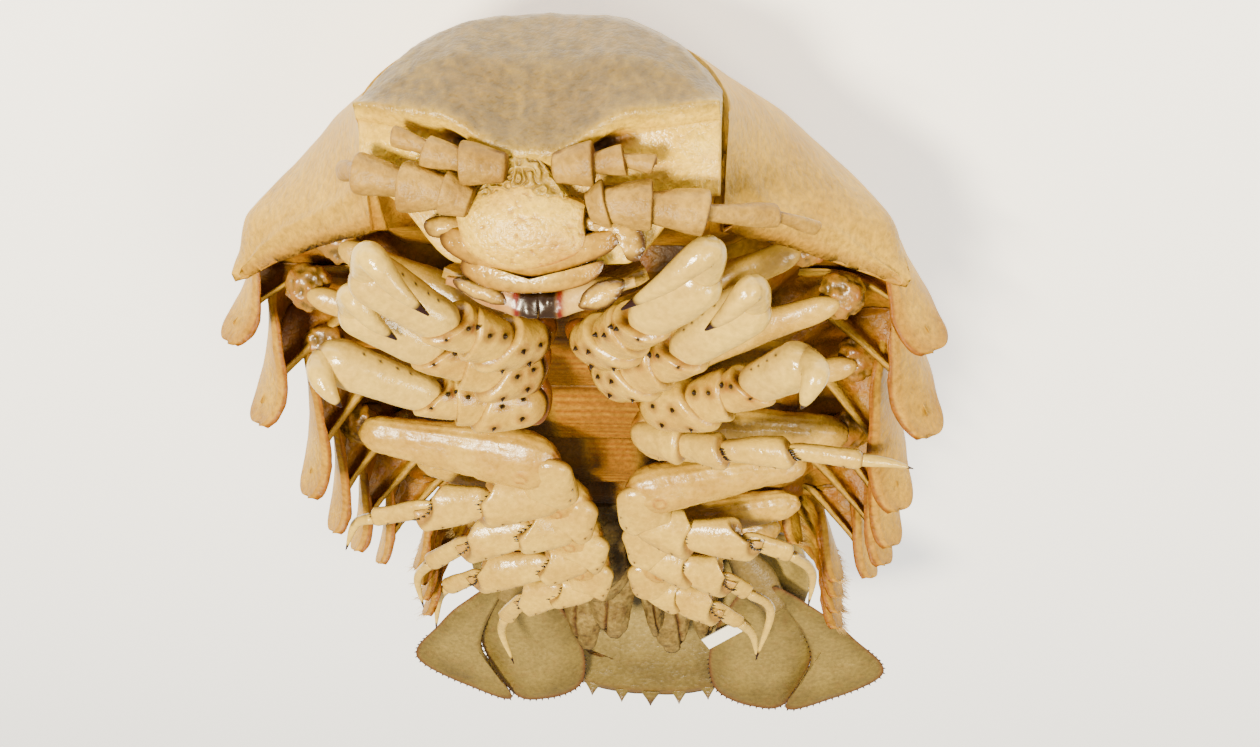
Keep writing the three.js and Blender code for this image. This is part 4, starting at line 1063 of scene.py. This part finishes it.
# The feelers: articles through (x, s, h, thick), a new article where the thickness steps down.
ANTENNULES = {
    "right": [((3.2, -0.9, 17.6), (8.8, -0.9, 17), 5), ((8.6, -1, 16.6), (13.4, -0.8, 15.4), 3.7),
              ((13, -0.8, 15.2), (17.4, -0.6, 13.6), 2.3)],
    "left": [((3.2, -0.9, 17.6), (8, -0.9, 17), 5), ((7.8, -1, 17), (12, -0.8, 16.6), 3.7),
             ((11.6, -0.8, 16.7), (15.6, -0.6, 17.2), 2.3)],
}
ANTENNAE = {
    "right": [((7.8, -0.6, 22), (11.2, -0.5, 20.6), 5.4), ((10.8, -0.5, 20.7), (16.7, 0.1, 20), 6),
              ((16.2, 0.1, 19.8), (22.8, 1.2, 18.4), 4.9), ((22.4, 1.2, 18.3), (26, 6, 18.6), 2.6)],
    "left": [((7.4, -0.6, 22.6), (9.6, -0.6, 22), 5.4), ((9.2, -0.5, 22), (15.3, 0.1, 22.4), 6),
             ((14.8, 0.1, 22.5), (22, 1.4, 23.5), 5.4), ((21.6, 1.4, 23.5), (30.8, 7, 24.4), 3),
             ((30.4, 6.8, 24.3), (36, 11, 26.6), 2)],
}
FACE_TO = np.array([0, -0.7, 0.7])


def feeler_piece(name, sign, articles):
    shape = Shape()
    for i, (a, b, thick) in enumerate(articles):
        a, b = [place(s, sign * x, h) for x, s, h in (a, b)]
        article(shape, mix(a, b, -0.08), mix(a, b, 1.04), FACE_TO, thick * 1.06, thick * 0.95, sign,
                first=0.1, last=0.07, start=0.7, end=1.04, oblique=0.4 * (i % 2) - 0.2, grooved=0.7, keel=0,
                steps=40, around=44, seed=80 + i, marks=(0.15, 0, 0, 0))
    finished(shape, name + "_articles", [feeler_chitin], [name])


def mandible_piece(name, sign):
    shape = Shape()
    stops = [(5.2, 12.5, 32.9), (4.8, 9, 33.7), (4.4, 4.4, 35), (4.2, 2.6, 35.6), (4.2, 0.06, 35.8)]
    path = line_through([place(s, sign * x, h) for s, x, h in stops], 50)
    t = np.linspace(0, 1, 50)
    wide = mix(1.2, 3.8, ease(t, 0, 0.5))
    rings, _ = sweep(path, FACE_TO, wide, wide, 30, 3.0)
    off = np.abs(rings[..., 0])
    rings = pushed(rings, 0.3 * (1 - ease(off, 2.4, 3)) * noise(rings, 1.4, 71, 2))
    shape.tube(rings, 0.3 + bell(off, 2.9, 0.5), 0.97 * (1 - ease(off, 2.2, 2.9)),
               0.1 * ease(off, 3, 3.6), 0.3)
    edged_lobe(shape, PALPS[name.split("_")[1]], FACE_S - 0.2, 0.8, 90, 1)
    finished(shape, name + "_jaw", [tooth_chitin, mouth_chitin], [name])


def leaf_grid(over, under, nu, nv):
    """Two facing sheets over u and v, joined round their border as one closed grid of rings."""
    v = np.linspace(0, 1, nv)
    return np.stack([np.concatenate([over(u, v), under(u, v[::-1])]) for u in np.linspace(0, 1, nu)])


def maxilliped_piece(name, sign):
    def face(near, far, top, low):
        return lambda u, v: place(mix(8, 25, u), sign * mix(near, mix(*far, u), v),
                                  mix(top, mix(*low, u), v * v))

    grid = leaf_grid(face(1.2, (14, 10), 36.6, (33, 32)), face(1.4, (13.6, 9.6), 34.4, (31.6, 31)), 40, 30)
    grid = pushed(grid, 0.25 * noise(grid, 2.5, 31, 3))
    shape = Shape()
    shape.tube(grid, 0.3, 0.3 * (noise(grid, 2.5, 33, 2) > 0.3), 0.3, 0.5)
    edged_lobe(shape, FEEDING_TIPS[name.split("_")[1]], FACE_S + 0.4, 0.7, 95)
    finished(shape, name + "_plate", [mouth_chitin], [name])


for side_name, sign in SIDES:
    feeler_piece(f"antennule_{side_name}", sign, ANTENNULES[side_name])
    feeler_piece(f"antenna_{side_name}", sign, ANTENNAE[side_name])
    mandible_piece(f"mandible_{side_name}", sign)
    maxilliped_piece(f"maxilliped_{side_name}", sign)

# The gill flaps: height of the first, how much lower each next one lies, thickness, half width, points.
GILL = {"top": 27, "lift": 2.5, "thick": 2, "half": 18}
FLAP_LONG = 90
FLAP_WIDE = 46
# Each flap's lobe: where it ends along the back line, and its nearest and farthest x.
GILL_LOBES = {
    "right": [(186, 0.6, 18), (192, 0.6, 18), (206, 0.8, 11.5), (213, 8.5, 18), (203, 0.6, 16)],
    "left": [(186, 0.6, 18), (193, 0.6, 18), (205, 0.6, 6), (212, 1.4, 11.5), (211, 10, 17)],
}


def pleopod_piece(name, sign, k):
    start = START["pleon"] + 3 + 3.6 * k
    end, near, far = GILL_LOBES[name.split("_")[2]][k]

    def lap(u, v, face):
        grown = ease(u, 0.35, 0.75)
        x = mix(mix(0.6, near, grown), mix(GILL["half"], far, grown), v)
        rounded = 1 - (0.1 + 0.2 * grown) * np.abs(2 * v - 1) ** 2.5
        s = mix(start, mix(start, end, rounded), u)
        droop = 3 * (x / GILL["half"]) ** 2 + 5 * ((s - START["pleon"]) / 60) ** 2
        pear = 1.3 * bell(u, 0.82, 0.2) * np.clip(1 - (2 * v - 1) ** 2, 0, 1)
        flat = GILL["thick"] / 2 * np.sqrt(np.clip(1 - np.abs(2 * v - 1) ** 3, 0.05, 1))
        thick = (flat + pear) * math.sqrt(min(1.0, max(0.02, (1 - u) / 0.12)))
        return place(s, sign * x, GILL["top"] - GILL["lift"] * k - 1 - droop + face * thick)

    grid = leaf_grid(lambda u, v: lap(u, v, 1), lambda u, v: lap(u, v, -1), FLAP_LONG, FLAP_WIDE)
    u = np.linspace(0, 1, FLAP_LONG)[:, None]
    v = both_faces(np.linspace(0, 1, FLAP_WIDE)[None])
    slit = bell(v - 0.12 * np.sin(5 * u + k), 0.62, 0.035) * ease(u, 0.5, 0.7)
    pits = noise(grid, 1.1, 45 + k, 2)
    grid = pushed(grid, 0.3 * noise(grid, 2.6, 41 + k, 3) - 0.8 * slit - 0.12 * ease(pits, 0.2, 0.7))
    margin = bell(v, 0, 0.05) + bell(v, 1, 0.05)
    shape = Shape()
    # Painted shade: the sunk slit and pits are painted darker.
    shape.tube(grid, 0.8 * slit + 0.35 * margin + 0.2 * ease(pits, 0.3, 0.8),
               0.5 * slit ** 2 + 0.3 * ease(pits, 0.5, 1), 0.4 * ease(-pits, 0, 0.8), 0.1)
    finished(shape, name + "_flap", [gill_skin], [name])


for side_name, sign in SIDES:
    for k in range(5):
        pleopod_piece(f"pleopod_{k + 1}_{side_name}", sign, k)


def telson_piece():
    start = START["pleotelson"] + GAP
    steps = 90
    across = 120
    u = np.linspace(0, 1, steps)[:, None]
    v = np.linspace(0, 1, across)[None]
    side = 2 * v - 1

    def sheet(drop):
        half = TELSON["front"] + TELSON["belly"] * np.sin(math.pi * u ** 0.8)
        deep = mix(TELSON["deep"], 4, ease(u, 0.2, 1))
        rim = WHOLE - TELSON["round"] * np.abs(side) ** 2.6
        thin = drop * np.sqrt(np.clip((1 - u) / 0.04, 0.2, 1))
        return place(mix(start, rim, u), half * side, deep * np.abs(side) ** 2.2 + thin)

    grid = both_faces(sheet(0.0), sheet(TELSON["thick"]))
    grid = pushed(grid, 0.12 * noise(grid, 3, 51, 3))
    end = both_faces(u + 0 * v)
    dimples = noise(grid, 1.1, 53, 2)
    inside = np.repeat([0, 1], across)[None]
    amber = 0.5 * ease(end, 0.93, 1) + 0.12 * ease(dimples, 0.2, 0.9) + 0.4 * (1 - inside)
    shape = Shape()
    shape.tube(grid, amber, 0.15 * (1 - inside), 0.95 * inside * (1 - ease(end, 0.45, 0.9)), 0.2)
    count = TELSON["spines"]
    for k in range(1, count + 1):
        side = 2 * k / (count + 1) - 1
        big, tipped = (1.3, 0.9) if abs(side) < 0.01 else (1.0, 0.5)
        half = TELSON["front"]
        rim = WHOLE - TELSON["round"] * abs(side) ** 2.6
        deep = 4 * abs(side) ** 2.2
        out = TELSON["drawn"] * TELSON["long"] * big
        root = place(rim - 1.2, half * side, deep + 1.2)
        tip = place(rim + out * (1 - 0.5 * side * side),
                    half * side + np.sign(side) * out * 0.8 * side * side, deep + 2.8)
        path = line_through([root, mix(root, tip, 0.5), tip], 16)
        t = np.linspace(0, 1, 16)
        narrow = (1 - 0.94 * t) ** 1.3
        rings, _ = sweep(path, FACE_TO, 4.2 * narrow * big, 2.2 * narrow * big, 18)
        t1 = t[:, None]
        shape.tube(rings, 0.4 * ease(t1, 0.3, 0.8), tipped * ease(t1, 0.4, 0.9), 0, 0.4)
    finished(shape, "pleotelson_shield", [tail_chitin], ["pleotelson"])


telson_piece()

# The tail fans' leaves: their thickness, and points (s, x, h) round each.
LEAF = 1.5
INNER_LEAF = [(191, 25, 13), (202, 18, 11), (212, 15, 8.6), (221, 14.4, 6.6), (227.5, 16.6, 6),
              (231, 24, 6), (229.5, 32, 6.4), (212, 38, 9), (197, 32, 12.4)]
OUTER_LEAF = [(190, 29, 13.5), (199, 40.5, 12), (207, 47, 10), (216, 53.5, 6.6), (221, 52.5, 6),
              (226.5, 43, 6), (229.5, 32, 6.4), (212.5, 37.5, 9)]
LEAF_ROWS = 26
FAN_EDGE = range(40, 118, 2)
FAN_SPINE = (0.42, 0.42, 0.5)


def uropod_piece(name, sign):
    shape = Shape()
    for outline, drop in ((INNER_LEAF, 0.0), (OUTER_LEAF, LEAF + 0.2)):
        loop = loop_through(outline, 140)
        middle = loop.mean(0)
        rings = []
        radius = []
        shares = np.linspace(0.02, 1, LEAF_ROWS) ** 0.8
        for lift, direction in ((0.0, 1), (LEAF, -1)):
            for r in shares[::direction]:
                at = middle + (loop - middle) * r
                edge = 0.5 * LEAF * (r ** 6) * direction
                rings.append(place(at[:, 0], sign * at[:, 1], at[:, 2] + drop + lift + edge))
                radius.append(r)
        grid = np.stack(rings)
        r = np.array(radius)[:, None]
        inside = ease(0.97 - r, 0, 0.12)
        dimples = noise(grid, 1.2, 63, 2)
        grid = pushed(grid, inside * (0.35 * noise(grid, 7, 61, 2) + 0.07 * dimples))
        shape.tube(grid, 0.9 * bell(r, 1, 0.05) + 0.2 * ease(dimples, 0.1, 0.9), 0.45 * bell(r, 1, 0.03),
                   0.35 * ease(0.9 - r, 0, 0.5), 0.2)
        for j in FAN_EDGE:
            rim = grid[LEAF_ROWS, j]
            shape.spines.append((rim, unit(rim - grid[LEAF_ROWS - 3, j]), FAN_SPINE))
    stem = [(181, 22, 14), (190, 26, 14.5), (197, 30, 14)]
    path = line_through([place(s, sign * x, h) for s, x, h in stem], 30)
    rings, _ = sweep(path, FACE_TO, 6 + 3 * bell(np.linspace(0, 1, 30), 0.5, 0.3), 4.2, 30)
    shape.tube(rings, 0.2, 0, 0.2, 0.2)
    finished(shape, name + "_fan", [tail_chitin], [name])
    spines_piece(name + "_spines", shape.spines, 0.1, spine_chitin)


for side_name, sign in SIDES:
    uropod_piece(f"uropod_{side_name}", sign)

# The blank paper strip: pulp paper, matte, with faint fibres.
paper, paper_tree, paper_shader = new_material("blank_rag_paper")
fibres = lumps(paper_tree, node(paper_tree, "ShaderNodeTexCoord").outputs["Object"], 0.4, 3.0, 0.5)
paper_bump = node(paper_tree, "ShaderNodeBump", {"Height": fibres, "Distance": 0.03 * MM})
wire(paper_tree, paper_shader, {"Base Color": linear("#F0EDE3"), "Roughness": 0.85,
                                "Normal": paper_bump.outputs["Normal"]})
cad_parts["paper_label"].data.materials.clear()
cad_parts["paper_label"].data.materials.append(paper)

# The floor: a matte white table that shines a little by itself.
floor_mesh = bpy.data.meshes.new("floor")
corners = [(-FLOOR_HALF, -FLOOR_HALF, 0), (FLOOR_HALF, -FLOOR_HALF, 0), (FLOOR_HALF, FLOOR_HALF, 0),
           (-FLOOR_HALF, FLOOR_HALF, 0)]
floor_mesh.from_pydata(corners, [], [(0, 1, 2, 3)])
floor_object = new_object("floor", floor_mesh)
floor_paint, floor_tree, board = new_material("white_light_table")
wire(floor_tree, board, {"Base Color": linear("#F2F2F0"), "Roughness": 0.9,
                         "Emission Color": linear("#FFFFFF"), "Emission Strength": 1.1})
floor_mesh.materials.append(floor_paint)

world = bpy.data.worlds.new("white_room")
world.use_nodes = True
wire(world.node_tree, world.node_tree.nodes["Background"], {"Color": linear("#FFFAF0"), "Strength": 0.5})
bpy.context.scene.world = world


def lamp(name, at, aim, size, power):
    data = bpy.data.lights.new(name, "AREA")
    data.shape = "DISK"
    data.size = size
    data.energy = power
    data.color = linear("#FFF0D0")[:3]
    made = new_object(name, data)
    made.location = Vector(at)
    made.rotation_euler = (Vector(aim) - Vector(at)).to_track_quat("-Z", "Y").to_euler()


lamp("front_softbox", (0.24, -0.56, 0.72), LIGHT_AIM, 0.22, 25)
lamp("side_softbox", (-0.5, -0.3, 0.65), LIGHT_AIM, 0.3, 6)

aim = np.array(CAMERA_AIM)
up_angle = math.radians(CAMERA_ELEVATION)
turn_angle = math.radians(CAMERA_AZIMUTH)
away = np.array([math.sin(turn_angle) * math.cos(up_angle), -math.cos(turn_angle) * math.cos(up_angle),
                 math.sin(up_angle)])
right = unit(np.cross(-away, [0, 0, 1.0]))
upward = np.cross(right, -away)
roll = math.radians(CAMERA_ROLL)
axis_x = right * math.cos(roll) + upward * math.sin(roll)
axis_y = -right * math.sin(roll) + upward * math.cos(roll)
camera_data = bpy.data.cameras.new("camera")
camera_data.sensor_fit = "HORIZONTAL"
camera_data.sensor_width = SENSOR
camera_data.lens = CAMERA_FOCAL_PX / PHOTO_WIDE * SENSOR
camera_data.clip_start = 0.01
camera = new_object("camera", camera_data)
eye_at = (aim + away * CAMERA_AWAY) * MM
camera.matrix_world = Matrix([(axis_x[i], axis_y[i], away[i], eye_at[i]) for i in range(3)] + [(0, 0, 0, 1)])
bpy.context.scene.camera = camera
